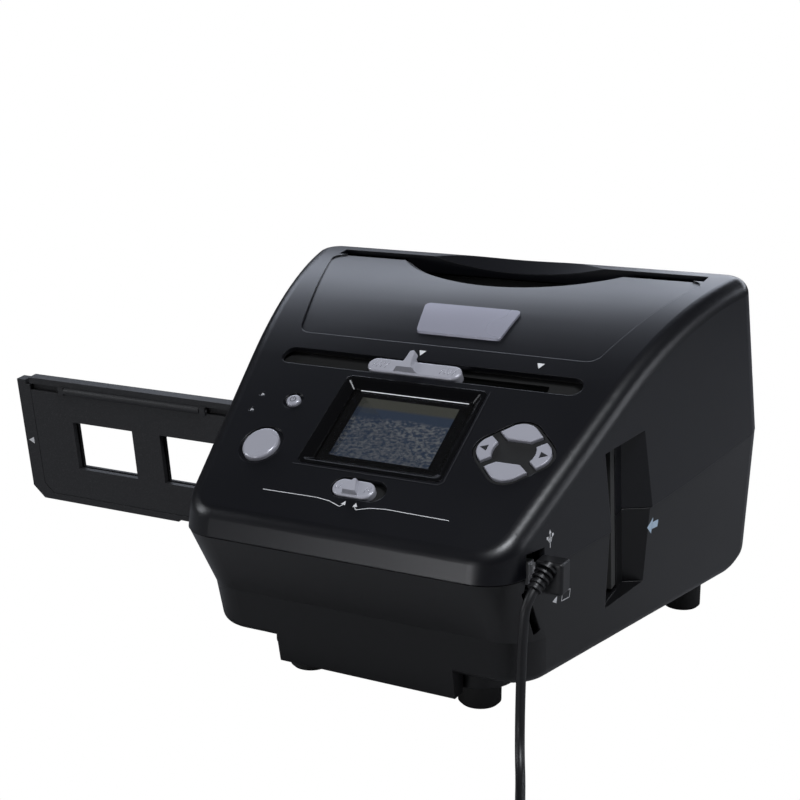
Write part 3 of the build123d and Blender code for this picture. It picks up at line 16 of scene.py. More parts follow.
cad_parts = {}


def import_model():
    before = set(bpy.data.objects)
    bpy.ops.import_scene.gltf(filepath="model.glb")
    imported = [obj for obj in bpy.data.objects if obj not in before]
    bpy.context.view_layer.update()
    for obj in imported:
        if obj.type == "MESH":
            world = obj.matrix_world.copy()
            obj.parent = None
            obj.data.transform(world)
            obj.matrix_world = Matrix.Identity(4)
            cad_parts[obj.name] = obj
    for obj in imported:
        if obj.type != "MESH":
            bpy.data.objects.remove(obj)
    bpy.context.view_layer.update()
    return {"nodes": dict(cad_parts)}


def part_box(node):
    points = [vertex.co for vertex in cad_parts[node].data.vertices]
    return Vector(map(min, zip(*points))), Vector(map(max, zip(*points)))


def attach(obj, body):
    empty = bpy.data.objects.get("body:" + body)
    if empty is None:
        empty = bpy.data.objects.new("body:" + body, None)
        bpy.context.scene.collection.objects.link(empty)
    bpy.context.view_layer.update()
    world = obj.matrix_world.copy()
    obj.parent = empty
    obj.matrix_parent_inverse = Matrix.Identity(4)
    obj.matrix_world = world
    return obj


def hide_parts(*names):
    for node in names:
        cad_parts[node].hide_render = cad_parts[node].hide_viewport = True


log = logging.getLogger("film_scanner")
MM = 0.001
Point2 = tuple[float, float]
Point3 = tuple[float, float, float]
Colour = tuple[float, float, float]
Outline = Sequence[Point2]
Socket = bpy.types.NodeSocket


class Body(str, Enum):
    """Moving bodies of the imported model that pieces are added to."""

    CASING = "casing"
    HOLDER = "holder"
    BACKLIGHT = "backlight"
    FOCUS = "focus"
    POWER = "power_button"
    LEFT_KEY = "left_key"
    RIGHT_KEY = "right_key"


class Slot(str, Enum):
    """Material slots of the record that new pieces belong to."""

    CASING = "casing"
    SILVER = "silver"
    HOLDER = "holder"
    WINDOW = "window"
    LENS_MARK = "lens_mark"
    CORD = "cord"


@dataclass(frozen=True)
class Face:
    """A face of the object with its own axes, which marks and small pieces are laid out on.

    Args:
        origin_mm: A point of the face.
        across: Unit direction to the face's right.
        up: Unit direction up the face.
    """

    origin_mm: Point3
    across: Vector
    up: Vector

    @property
    def out(self) -> Vector:
        """Unit direction straight out of the face."""
        return self.across.cross(self.up)

    def point(self, across_mm: float, up_mm: float, out_mm: float = 0.0) -> Vector:
        """Returns a place over the face, in metres."""
        offset = self.across * across_mm + self.up * up_mm + self.out * out_mm
        return (Vector(self.origin_mm) + offset) * MM

    def matrix(
        self, across_mm: float, up_mm: float, out_mm: float = 0.0, turn: float = 0.0
    ) -> Matrix:
        """Works out a placement on the face.

        Args:
            across_mm, up_mm, out_mm: The place.
            turn: Angle in the face's plane, in degrees.

        Returns:
            The matrix, in metres.
        """
        turned = Matrix.Rotation(math.radians(turn), 3, self.out)
        axes = (turned @ self.across, turned @ self.up, self.out)
        matrix = Matrix([list(row) for row in zip(*axes)]).to_4x4()
        matrix.translation = self.point(across_mm, up_mm, out_mm)
        return matrix


def sloped_face(origin_mm: Point3, slope: float) -> Face:
    """Returns a face towards the user whose up direction rises by an angle in degrees."""
    angle = math.radians(slope)
    return Face(origin_mm, Vector((1, 0, 0)), Vector((0, math.cos(angle), math.sin(angle))))


@dataclass(frozen=True)
class Casing:
    """Sizes of the casing that the marks are placed by, as in the CAD model."""

    nose_y: float = -130.1
    parting_z: float = 76.8
    nose_half_width: float = 75.6
    flare_top: float = 0.2382
    flare_base: float = 0.2224
    draft_top: float = -0.0416
    draft_base: float = 0.1
    panel_slope: float = 31.0
    film_lean: float = 7.3

    @property
    def panel(self) -> Face:
        """The control panel, with its origin in the middle of the long groove."""
        return sloped_face((0.0, -43.5, 138.4), self.panel_slope)

    @property
    def crown_edge(self) -> Face:
        """The start of the crown, just above the groove."""
        return sloped_face((0.0, -34.4, 143.6), 28.7)

    @property
    def film(self) -> Face:
        """Front face of the slide holder."""
        return sloped_face((0.0, -51.65, 79.35), 90 + self.film_lean)

    def right_wall(self, y: float, z: float, upper: bool) -> Face:
        """Finds the right side wall at a place.

        Args:
            y, z: The place in millimetres.
            upper: Whether it is on the upper cover.

        Returns:
            The wall there; across runs to the back.
        """
        flare = self.flare_top if upper else self.flare_base
        draft = self.draft_top if upper else self.draft_base
        half = self.nose_half_width + flare * (y - self.nose_y) + draft * (z - self.parting_z)
        across = Vector((flare, 1, 0)).normalized()
        rise = Vector((draft, 0, 1))
        return Face((half, y, z), across, (rise - across * rise.dot(across)).normalized())


CASING = Casing()
RING_STEP = 12  # degrees of a printed ring that one straight piece covers


class Graph:
    """The shader nodes of one material, with short ways to add the usual ones."""

    NOISE_LOW, NOISE_HIGH = 0.3, 0.7  # where noise mostly lies

    def __init__(self, material: bpy.types.Material) -> None:
        """Takes the material's nodes.

        Args:
            material: The material that the nodes are added to.
        """
        material.use_nodes = True
        self.nodes = material.node_tree.nodes
        self.links = material.node_tree.links
        self.shader = self.nodes["Principled BSDF"]

    def place(self) -> Socket:
        """Returns the place on the object."""
        return self.nodes.new("ShaderNodeTexCoord").outputs["Object"]

    def noise(self, place: Socket, scale: float, detail: float) -> Socket:
        """Adds a noise texture.

        Args:
            place: Where the texture is read.
            scale: Cells per metre.
            detail: Octaves.

        Returns:
            Its value.
        """
        texture = self.nodes.new("ShaderNodeTexNoise")
        texture.inputs["Scale"].default_value = scale
        texture.inputs["Detail"].default_value = detail
        self.links.new(place, texture.inputs["Vector"])
        return texture.outputs["Fac"]

    def mapped(self, value: Socket, low: float, high: float) -> Socket:
        """Maps a noise value to a range.

        Args:
            value: The noise.
            low, high: Ends of the range.

        Returns:
            The mapped value.
        """
        scale = self.nodes.new("ShaderNodeMapRange")
        scale.inputs["From Min"].default_value = self.NOISE_LOW
        scale.inputs["From Max"].default_value = self.NOISE_HIGH
        scale.inputs["To Min"].default_value = low
        scale.inputs["To Max"].default_value = high
        self.links.new(value, scale.inputs["Value"])
        return scale.outputs["Result"]

    def step(self, value: Socket, low: float, high: float) -> Socket:
        """Makes a soft step.

        Args:
            value: What the step follows.
            low, high: Where it starts and ends.

        Returns:
            0 before the step and 1 after it.
        """
        scale = self.nodes.new("ShaderNodeMapRange")
        scale.interpolation_type = "SMOOTHSTEP"
        scale.inputs["From Min"].default_value = low
        scale.inputs["From Max"].default_value = high
        self.links.new(value, scale.inputs["Value"])
        return scale.outputs["Result"]

    def product(self, first: Socket, second: Socket) -> Socket:
        """Multiplies two values.

        Args:
            first, second: The values.

        Returns:
            Their product.
        """
        both = self.nodes.new("ShaderNodeMath")
        both.operation = "MULTIPLY"
        self.links.new(first, both.inputs[0])
        self.links.new(second, both.inputs[1])
        return both.outputs[0]

    def blend(self, share: Socket, first: Colour | Socket, second: Colour | Socket) -> Socket:
        """Mixes two colours.

        Args:
            share: How much of the second colour, 0 to 1.
            first, second: Fixed colours or other nodes' colours.

        Returns:
            The mixed colour.
        """
        mix = self.nodes.new("ShaderNodeMix")
        mix.data_type = "RGBA"
        for name, colour in (("A", first), ("B", second)):
            socket = next(s for s in mix.inputs if s.name == name and s.type == "RGBA")
            if isinstance(colour, tuple):
                socket.default_value = (*colour, 1)
            else:
                self.links.new(colour, socket)
        self.links.new(share, mix.inputs["Factor"])
        return next(s for s in mix.outputs if s.type == "RGBA")


@dataclass(frozen=True)
class Finish:
    """One surface finish, made into a procedural material.

    Args:
        name: Material name.
        colour: Linear base colour.
        roughness: Middle roughness.
        metallic: 0 for plastics, 1 for metals.
        coat: Strength of a clear coat.
        grain_mm: Size of the moulded grain.
        grain: Height of the grain, 0 to 1.
        wear: How far roughness wanders over the surface.
        speckle: Share of lighter specks mixed into the colour.
        edge_mm: Radius that sharp edges are shown with.
        clear: 1 for a clear pane.
        glow: Light given off.
        specular: Strength of the mirror part, 0.5 for common plastics.
    """

    name: str
    colour: Colour
    roughness: float = 0.4
    metallic: float = 0.0
    coat: float = 0.0
    grain_mm: float = 0.35
    grain: float = 0.03
    wear: float = 0.06
    speckle: float = 0.0
    edge_mm: float = 0.25
    clear: float = 0.0
    glow: float = 0.0
    specular: float = 0.5

    COAT_ROUGHNESS = 0.08
    CLOUD_SCALE = 9.0
    SPECK_CONTRAST = 4.2
    BUMP_PER_GRAIN = 8
    BUMP_HEIGHT = 0.00002

    def material(self) -> bpy.types.Material:
        """Makes the material on first use.

        Returns:
            The material.
        """
        known = bpy.data.materials.get(self.name)
        if known:
            return known
        made = bpy.data.materials.new(self.name)
        graph = Graph(made)
        settings = {
            "Metallic": self.metallic,
            "Coat Weight": self.coat,
            "Coat Roughness": self.COAT_ROUGHNESS,
            "Specular IOR Level": self.specular,
            "Transmission Weight": self.clear,
            "Base Color": (*self.colour, 1),
            "Roughness": self.roughness,
        }
        if self.glow:
            settings["Emission Color"] = (*self.colour, 1)
            settings["Emission Strength"] = self.glow
        for name, value in settings.items():
            graph.shader.inputs[name].default_value = value
        if not self.clear:
            self.add_texture(graph)
        return made

    def add_texture(self, graph: Graph) -> None:
        """Adds uneven roughness, specks, moulded grain and soft edges.

        Args:
            graph: The material's nodes.
        """
        shader, place = graph.shader, graph.place()
        cloud = graph.noise(place, self.CLOUD_SCALE, 3.0)
        uneven = graph.mapped(cloud, self.roughness - self.wear, self.roughness + self.wear)
        graph.links.new(uneven, shader.inputs["Roughness"])
        grain = graph.noise(place, 1 / (self.grain_mm * MM), 4.0)
        if self.speckle:
            light = tuple(min(1.0, c * 5 + 0.05) for c in self.colour)
            reach = self.SPECK_CONTRAST * self.speckle
            colour = graph.blend(graph.mapped(grain, -reach, reach), self.colour, light)
            graph.links.new(colour, shader.inputs["Base Color"])
        edge = graph.nodes.new("ShaderNodeBevel")
        edge.samples = 4
        edge.inputs["Radius"].default_value = self.edge_mm * MM
        bump = graph.nodes.new("ShaderNodeBump")
        bump.inputs["Strength"].default_value = self.grain * self.BUMP_PER_GRAIN
        bump.inputs["Distance"].default_value = self.BUMP_HEIGHT
        graph.links.new(grain, bump.inputs["Height"])
        graph.links.new(edge.outputs["Normal"], bump.inputs["Normal"])
        graph.links.new(bump.outputs["Normal"], shader.inputs["Normal"])


BLACK_SHELL = Finish(
    "black_shell", (0.0035, 0.0037, 0.0055), roughness=0.33, grain=0.012, wear=0.03, edge_mm=0.5
)
BLACK_BASE = Finish(
    "black_base", (0.0035, 0.0035, 0.004), roughness=0.34, grain=0.015, wear=0.03, edge_mm=0.5
)
GLOSS_FRAME = Finish(
    "gloss_frame", (0.003, 0.003, 0.0035),
    roughness=0.2, specular=0.22, grain=0.0, wear=0.02, edge_mm=0.6,
)
MATT_BLACK = Finish("matt_black", (0.006, 0.006, 0.006), roughness=0.55, grain=0.03, edge_mm=0.3)
SILVER_KEY = Finish(
    "silver_key", (0.42, 0.42, 0.47),
    roughness=0.3, metallic=0.15, coat=0.3, grain=0.01, edge_mm=0.7,
)
SILVER_KNOB = Finish(
    "silver_knob", (0.45, 0.45, 0.5),
    roughness=0.28, metallic=0.15, coat=0.3, grain=0.01, edge_mm=0.7,
)
BRUSHED_PLATE = Finish(
    "brushed_plate", (0.38, 0.38, 0.45), roughness=0.3, metallic=0.3, grain=0.02, edge_mm=0.3
)
HOLDER_BLACK = Finish(
    "holder_black", (0.012, 0.012, 0.013), roughness=0.5, grain_mm=0.5, grain=0.09, speckle=0.05
)
RUBBER = Finish(
    "rubber", (0.008, 0.008, 0.008), roughness=0.7, grain_mm=0.6, grain=0.06, edge_mm=0.4
)
CORD_BLACK = Finish("cord_black", (0.008, 0.008, 0.009), roughness=0.42, grain=0.02)
PLUG_BLACK = Finish(
    "plug_black", (0.007, 0.007, 0.008), roughness=0.4, grain_mm=0.4, grain=0.05, edge_mm=0.5
)
STEEL = Finish("steel", (0.55, 0.55, 0.56), roughness=0.25, metallic=1.0, grain=0.01)
PALE_STRIP = Finish("pale_strip", (0.05, 0.05, 0.048), roughness=0.5, grain=0.03)
WHITE_SHEET = Finish("white_sheet", (0.8, 0.8, 0.78), roughness=0.5)
LIGHT_BOX = Finish("light_box", (0.35, 0.35, 0.35), roughness=0.5)
BOARD_GREEN = Finish("board_green", (0.01, 0.08, 0.03), roughness=0.35, grain_mm=1.2, grain=0.04)
DARK_PANE = Finish("dark_pane", (0.72, 0.74, 0.78), roughness=0.015, clear=1.0)
LENS_GLASS = Finish("lens_glass", (0.75, 0.8, 0.9), roughness=0.01, clear=1.0)
LAMP_WINDOW = Finish("lamp_window", (0.02, 0.022, 0.025), roughness=0.2, grain=0.0)
WHITE_PRINT = Finish("white_print", (0.75, 0.75, 0.76), roughness=0.5, grain=0.0, wear=0.02)
FAINT_LINE = Finish("faint_line", (0.03, 0.03, 0.034), roughness=0.4, grain=0.0, wear=0.02)
GREY_PRINT = Finish("grey_print", (0.42, 0.42, 0.44), roughness=0.5, grain=0.0, wear=0.02)
BLUE_PRINT = Finish("blue_print", (0.55, 0.7, 0.85), roughness=0.5, grain=0.0, wear=0.02)
DARK_PRINT = Finish("dark_print", (0.01, 0.01, 0.012), roughness=0.5, grain=0.0, wear=0.02)
# Painted highlight: a glowing near-white colour standing for light caught on the display pane's top
# edge.
PAINTED_GLINT = Finish("painted_glint", (0.85, 0.86, 0.88), roughness=0.3, grain=0.0, glow=0.25)


@dataclass(frozen=True)
class DisplayPicture:
    """A made-up hazy landscape in strips of grey-yellow, blue-grey and mottled pale tones.

    Args:
        left_mm, right_mm, low_mm, high_mm: Edges of the picture on the panel.
        sky, haze, ground, shade: Linear colours from top to bottom.
        glow: Light given off.
        flatten: How much wider than tall the mottle is.
        mottle_scale, ridge_scale: Cells per metre of the ground and of the haze's lower edge.
        ridge_height: How far that edge wanders, as a share of the height.
        haze_starts, sky_starts: Where the haze and the sky begin and are full.
    """

    left_mm: float = -24.75
    right_mm: float = 23.75
    low_mm: float = -54.5
    high_mm: float = -17.9
    sky: Colour = (0.065, 0.066, 0.055)
    haze: Colour = (0.035, 0.05, 0.08)
    ground: Colour = (0.16, 0.165, 0.17)
    shade: Colour = (0.03, 0.045, 0.075)
    glow: float = 0.75
    flatten: float = 1.5
    mottle_scale: float = 520.0
    ridge_scale: float = 45.0
    ridge_height: float = 0.14
    haze_starts: Point2 = (0.7, 0.78)
    sky_starts: Point2 = (0.8, 0.86)

    def material(self) -> bpy.types.Material:
        """Makes the display's material.

        Returns:
            The material.
        """
        made = bpy.data.materials.new("display_picture")
        graph = Graph(made)
        shader, place = graph.shader, graph.place()
        shader.inputs["Base Color"].default_value = (0.004, 0.004, 0.005, 1)
        shader.inputs["Roughness"].default_value = 0.25
        face = CASING.panel
        height = self.share_along(graph, place, face.up, self.low_mm, self.high_mm)
        across = self.share_along(graph, place, face.across, self.left_mm, self.right_mm)
        whole = self.landscape(graph, place, height)
        seen = graph.blend(self.frame(graph, height, across), (0.0, 0.0, 0.0), whole)
        graph.links.new(seen, shader.inputs["Emission Color"])
        shader.inputs["Emission Strength"].default_value = self.glow
        return made

    def landscape(self, graph: Graph, place: Socket, height: Socket) -> Socket:
        """Makes the picture.

        Args:
            graph: The display's nodes.
            place: Place on the display.
            height: 0 at the picture's foot to 1 at its top.

        Returns:
            Its colour.
        """
        stretch = graph.nodes.new("ShaderNodeMapping")
        stretch.inputs["Scale"].default_value = (1.0, self.flatten, self.flatten)
        graph.links.new(place, stretch.inputs["Vector"])
        mottle = graph.noise(stretch.outputs["Vector"], self.mottle_scale, 8.0)
        ridge = graph.noise(stretch.outputs["Vector"], self.ridge_scale, 3.0)
        lifted = graph.nodes.new("ShaderNodeMath")
        lifted.operation = "MULTIPLY_ADD"
        lifted.inputs[1].default_value = self.ridge_height
        graph.links.new(ridge, lifted.inputs[0])
        graph.links.new(height, lifted.inputs[2])
        ground = graph.blend(graph.mapped(mottle, -0.7, 1.4), self.shade, self.ground)
        middle = graph.blend(graph.step(lifted.outputs[0], *self.haze_starts), ground, self.haze)
        return graph.blend(graph.step(height, *self.sky_starts), middle, self.sky)

    @staticmethod
    def frame(graph: Graph, height: Socket, across: Socket) -> Socket:
        """Bounds the picture.

        Args:
            graph: The display's nodes.
            height, across: 0 to 1 from edge to edge.

        Returns:
            1 inside the picture's four edges and 0 outside them.
        """
        soft = 0.01
        inside = graph.step(height, 0.0, soft)
        inside = graph.product(inside, graph.step(height, 1.0, 1.0 - soft))
        inside = graph.product(inside, graph.step(across, 0.0, soft))
        return graph.product(inside, graph.step(across, 1.0, 1.0 - soft))

    @staticmethod
    def share_along(
        graph: Graph, place: Socket, way: Vector, low_mm: float, high_mm: float
    ) -> Socket:
        """Measures along a direction of the panel.

        Args:
            graph: The display's nodes.
            place: Place on the display.
            way: The direction.
            low_mm, high_mm: Two places along it.

        Returns:
            A value that runs from 0 to 1 between the two places.
        """
        along = graph.nodes.new("ShaderNodeVectorMath")
        along.operation = "DOT_PRODUCT"
        along.inputs[1].default_value = way
        graph.links.new(place, along.inputs[0])
        base = CASING.panel.point(0, 0).dot(way)
        scale = graph.nodes.new("ShaderNodeMapRange")
        scale.clamp = False
        scale.inputs["From Min"].default_value = base + low_mm * MM
        scale.inputs["From Max"].default_value = base + high_mm * MM
        graph.links.new(along.outputs["Value"], scale.inputs["Value"])
        return scale.outputs["Result"]


NODE_FINISHES: dict[str, Finish] = {
    "top_cover": BLACK_SHELL,
    "bottom_cover": BLACK_BASE,
    "name_plate": BRUSHED_PLATE,
    "rubber_feet": RUBBER,
    "cover_screws": STEEL,
    "display_bezel": GLOSS_FRAME,
    "display_window": DARK_PANE,
    "key_surround": MATT_BLACK,
    "right_key": SILVER_KEY,
    "mode_key": SILVER_KEY,
    "left_key": SILVER_KEY,
    "enter_key": SILVER_KEY,
    "scan_button": SILVER_KEY,
    "power_button": SILVER_KEY,
    "left_key_board": BOARD_GREEN,
    "right_key_board": BOARD_GREEN,
    "indicator_lenses": LAMP_WINDOW,
    "slider_knob": SILVER_KNOB,
    "slider_track": MATT_BLACK,
    "focus_switch": SILVER_KNOB,
    "switch_track": MATT_BLACK,
    "holder_base": HOLDER_BLACK,
    "holder_lid": HOLDER_BLACK,
    "hinge_pins": STEEL,
    "film_frame": MATT_BLACK,
    "guide_rods": STEEL,
    "backlight_housing": LIGHT_BOX,
    "backlight_diffuser": WHITE_SHEET,
    "backlight_board": BOARD_GREEN,
    "port_strips": PALE_STRIP,
    "camera_bracket": MATT_BLACK,
    "lens_barrel": MATT_BLACK,
    "lens_glass": LENS_GLASS,
    "sensor_board": BOARD_GREEN,
    "photo_guide": MATT_BLACK,
    "photo_lamps": BOARD_GREEN,
    "lamp_covers": WHITE_SHEET,
    "main_board": BOARD_GREEN,
    "board_screws": STEEL,
    "port_board": BOARD_GREEN,
    "usb_socket": STEEL,
    "card_socket": STEEL,
    "usb_plug": PLUG_BLACK,
    "plug_nose": STEEL,
    "far_plug": PLUG_BLACK,
    "far_plug_shell": STEEL,
}


class Dresser:
    """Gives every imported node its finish."""

    def __init__(self, nodes: dict[str, bpy.types.Object]) -> None:
        self.nodes = nodes

    def dress(self) -> None:
        """Assigns the finishes, and the picture to the display."""
        for name, finish in NODE_FINISHES.items():
            self.paint(self.nodes[name], finish.material())
        self.paint(self.nodes["lcd_module"], DisplayPicture().material())

    @staticmethod
    def paint(obj: bpy.types.Object, material: bpy.types.Material) -> None:
        """Puts one material on a whole object."""
        obj.data.materials.clear()
        obj.data.materials.append(material)


@dataclass
class Piece:
    """Places new small pieces and ties each to its body.

    Args:
        body: The body that the piece rides on.
        slot: The record's material slot it belongs to; not used.
    """

    body: Body
    slot: Slot

    def add(self, name: str, mesh: bpy.types.Mesh, finish: Finish, matrix: Matrix) -> None:
        """Makes an object of a mesh.

        Args:
            name: Name of the piece.
            mesh: Its shape.
            finish: Its finish.
            matrix: Its placement.
        """
        mesh.materials.append(finish.material())
        obj = bpy.data.objects.new(name, mesh)
        bpy.context.scene.collection.objects.link(obj)
        obj.matrix_world = matrix
        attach(obj, self.body.value)
        log.info("added %s to %s", name, self.body.value)


def flat_mesh(name: str, outlines: Iterable[Outline], thick_mm: float = 0.04) -> bpy.types.Mesh:
    """Makes a mesh of thin printed shapes.

    Args:
        name: Name of the mesh.
        outlines: Convex outlines in millimetres.
        thick_mm: Thickness of the print.

    Returns:
        The mesh.
    """
    points: list[Point3] = []
    faces: list[list[int]] = []
    for outline in outlines:
        count, first = len(outline), len(points)
        for height in (0.0, thick_mm):
            points += [(x * MM, y * MM, height * MM) for x, y in outline]
        faces.append([first + i for i in reversed(range(count))])
        faces.append([first + count + i for i in range(count)])
        for i in range(count):
            j = (i + 1) % count
            faces.append([first + i, first + j, first + count + j, first + count + i])
    mesh = bpy.data.meshes.new(name)
    mesh.from_pydata(points, [], faces)
    return mesh


def bar(start: Point2, end: Point2, width: float) -> list[Point2]:
    """Lays out a straight printed line.

    Args:
        start, end: Its ends.
        width: Its width.

    Returns:
        Its outline.
    """
    along = Vector((end[0] - start[0], end[1] - start[1])).normalized()
    side = Vector((-along.y, along.x)) * width / 2
    return [
        (start[0] - side.x, start[1] - side.y),
        (end[0] - side.x, end[1] - side.y),
        (end[0] + side.x, end[1] + side.y),
        (start[0] + side.x, start[1] + side.y),
    ]


def polyline(points: Outline, width: float) -> list[list[Point2]]:
    """Returns the outlines of a printed line through several points."""
    return [bar(a, b, width) for a, b in zip(points, points[1:])]


def arrow_head(tip: Point2, direction: float, size: float) -> list[Point2]:
    """Lays out a triangle that points somewhere.

    Args:
        tip: Place of its tip.
        direction: Where it points, in degrees.
        size: Its length and width.

    Returns:
        Its outline.
    """
    angle = math.radians(direction)
    back = Vector((math.cos(angle), math.sin(angle))) * size
    side = Vector((-back.y, back.x)) * 0.5
    return [
        tip,
        (tip[0] - back.x + side.x, tip[1] - back.y + side.y),
        (tip[0] - back.x - side.x, tip[1] - back.y - side.y),
    ]


def ring(radius: float, width: float, start: float = 0.0, end: float = 360.0) -> list[list[Point2]]:
    """Lays out a printed ring or part of one.

    Args:
        radius: Middle radius.
        width: Width of the line.
        start, end: Angles in degrees.

    Returns:
        The outlines of its straight pieces.
    """
    steps = max(4, round((end - start) / RING_STEP))
    angles = [math.radians(start + (end - start) * i / steps) for i in range(steps + 1)]
    return polyline([(radius * math.cos(a), radius * math.sin(a)) for a in angles], width)


ON_CASING = Piece(Body.CASING, Slot.SILVER)


@dataclass(frozen=True)
class PrintedMarks:
    """Plain arrows, lines and symbols printed on the casing, the keys and the holder.

    Args:
        lift_mm: Height of a mark over its face.
        key_mm, power_mm: How far the side keys and the power button stand out of the panel.
        leader_mm, border_mm, card_mm: Widths of printed lines.
        film_end, photo_end: Places of the arrow heads along the long groove.
        left_leader, right_leader: Points of the lines to the focus switch.
        border: Points of the line below and beside the display frame.
        left_key, right_key, power: Middles of the keys' marks on the panel.
        port, card, pointer, holder: Places of the side marks, as y and z on the right wall.
        grip_end: Place of the holder's mark on its front face.
    """

    lift_mm: float = 0.02
    key_mm: float = 0.8
    power_mm: float = 0.9
    leader_mm: float = 0.34
    border_mm: float = 0.3
    card_mm: float = 0.36
    film_end: float = -6.6
    photo_end: float = 51.4
    left_leader: tuple[Point2, ...] = (
        (-42.4, -82.1),
        (-15.9, -81.8),
        (-9.5, -82.6),
        (-3.6, -84.6),
        (-2.4, -83.2),
    )
    right_leader: tuple[Point2, ...] = (
        (46.0, -82.7),
        (16.6, -82.2),
        (9.8, -83.0),
        (4.2, -85.0),
        (3.0, -83.4),
    )
    border: tuple[Point2, ...] = ((-36.5, -65.2), (33.6, -65.2), (35.4, -63.4), (35.4, -8.6))
    left_key: Point2 = (43.4, -41.7)
    right_key: Point2 = (74.0, -41.7)
    power: Point2 = (-54.5, -28.8)
    port: Point2 = (-97.6, 88.5)
    card: Point2 = (-82.4, 60.0)
    pointer: Point2 = (-90.4, 59.9)
    holder: Point2 = (-17.6, 72.9)
    grip_end: Point2 = (-227.6, -0.6)

    def build(self) -> None:
        """Adds every mark."""
        self.slider_marks()
        self.switch_lines()
        self.display_border()
        self.key_marks()
        self.port_mark()
        self.card_marks()
        self.holder_marks()

    @staticmethod
    def put(
        place: Piece, name: str, outlines: Iterable[Outline], finish: Finish, matrix: Matrix
    ) -> None:
        """Adds one mark of any number of convex outlines in millimetres."""
        place.add(name, flat_mesh(name, outlines), finish, matrix)

    def slider_marks(self) -> None:
        """Adds two white arrow heads above the long groove."""
        for side, across in (("film", self.film_end), ("photo", self.photo_end)):
            head = [arrow_head((0, -1.6), -90, 3.6)]
            matrix = CASING.crown_edge.matrix(across, 0.0, 0.06)
            self.put(ON_CASING, f"mark_{side}_position", head, WHITE_PRINT, matrix)

    def switch_lines(self) -> None:
        """Adds leader lines from both sides to the focus switch, each with an arrow head."""
        left = polyline(self.left_leader, self.leader_mm)
        right = polyline(self.right_leader, self.leader_mm)
        heads = [arrow_head((-2.1, -81.2), 78, 2.2), arrow_head((2.8, -81.4), 100, 2.2)]
        matrix = CASING.panel.matrix(0, 0, self.lift_mm)
        self.put(ON_CASING, "switch_leader_lines", [*left, *right, *heads], WHITE_PRINT, matrix)

    def display_border(self) -> None:
        """Adds a faint line below and beside the display frame."""
        place = Piece(Body.CASING, Slot.CASING)
        border = polyline(self.border, self.border_mm)
        matrix = CASING.panel.matrix(0, 0, self.lift_mm)
        self.put(place, "display_border_line", border, FAINT_LINE, matrix)

    def key_marks(self) -> None:
        """Adds dark arrow heads on the side keys and the on-off symbol on its button."""
        keys = (
            (Body.LEFT_KEY, "left_key_arrow", self.left_key, 180),
            (Body.RIGHT_KEY, "right_key_arrow", self.right_key, 0),
        )
        for body, name, (across, up), direction in keys:
            matrix = CASING.panel.matrix(across, up, self.key_mm + self.lift_mm)
            head = [arrow_head((0, 0), direction, 3.5)]
            self.put(Piece(body, Slot.SILVER), name, head, DARK_PRINT, matrix)
        symbol = [*ring(1.35, 0.3, 120, 420), bar((0, 0.2), (0, 1.9), 0.3)]
        matrix = CASING.panel.matrix(*self.power, self.power_mm + self.lift_mm)
        self.put(Piece(Body.POWER, Slot.SILVER), "power_symbol", symbol, DARK_PRINT, matrix)

    def port_mark(self) -> None:
        """Adds the port's branched symbol on the right wall."""
        symbol = [
            bar((0, -3.2), (0, 3.0), 0.45),
            bar((0, -1.2), (-1.8, 0.6), 0.4),
            bar((0, -0.2), (1.8, 1.4), 0.4),
            arrow_head((0, 4.4), 90, 1.7),
            bar((-2.4, 1.1), (-1.2, 1.1), 1.1),
            bar((1.2, 1.9), (2.4, 1.9), 1.1),
            *ring(0.8, 0.6),
        ]
        matrix = CASING.right_wall(*self.port, True).matrix(0, 0, self.lift_mm)
        self.put(ON_CASING, "port_symbol", symbol, WHITE_PRINT, matrix)

    def card_marks(self) -> None:
        """Adds the outline of a card, and an arrow head, by the card slot."""
        corners = [(-2.9, -1.9), (2.9, -1.9), (2.9, 1.9), (-1.9, 1.9), (-2.9, 0.9), (-2.9, -1.9)]
        outline = polyline(corners, self.card_mm)
        matrix = CASING.right_wall(*self.card, False).matrix(0, 0, self.lift_mm)
        self.put(ON_CASING, "card_outline", outline, WHITE_PRINT, matrix)
        head = [arrow_head((-1.7, 0), 180, 3.2)]
        matrix = CASING.right_wall(*self.pointer, False).matrix(0, 0, self.lift_mm)
        self.put(ON_CASING, "card_arrow", head, WHITE_PRINT, matrix)

    def holder_marks(self) -> None:
        """Adds the arrow at the film port and the arrow head at the holder's grip end."""
        shaft = bar((-0.6, 0), (4.6, 0), 3.4)
        wide = [(-4.6, 0.0), (-0.4, -3.8), (-0.4, 3.8)]
        matrix = CASING.right_wall(*self.holder, False).matrix(0, 0, self.lift_mm)
        self.put(ON_CASING, "holder_way_arrow", [shaft, wide], BLUE_PRINT, matrix)
        place = Piece(Body.HOLDER, Slot.HOLDER)
        head = [arrow_head((0, 0), 180, 3.6)]
        matrix = CASING.film.matrix(*self.grip_end, self.lift_mm)
        self.put(place, "holder_arrow", head, WHITE_PRINT, matrix)


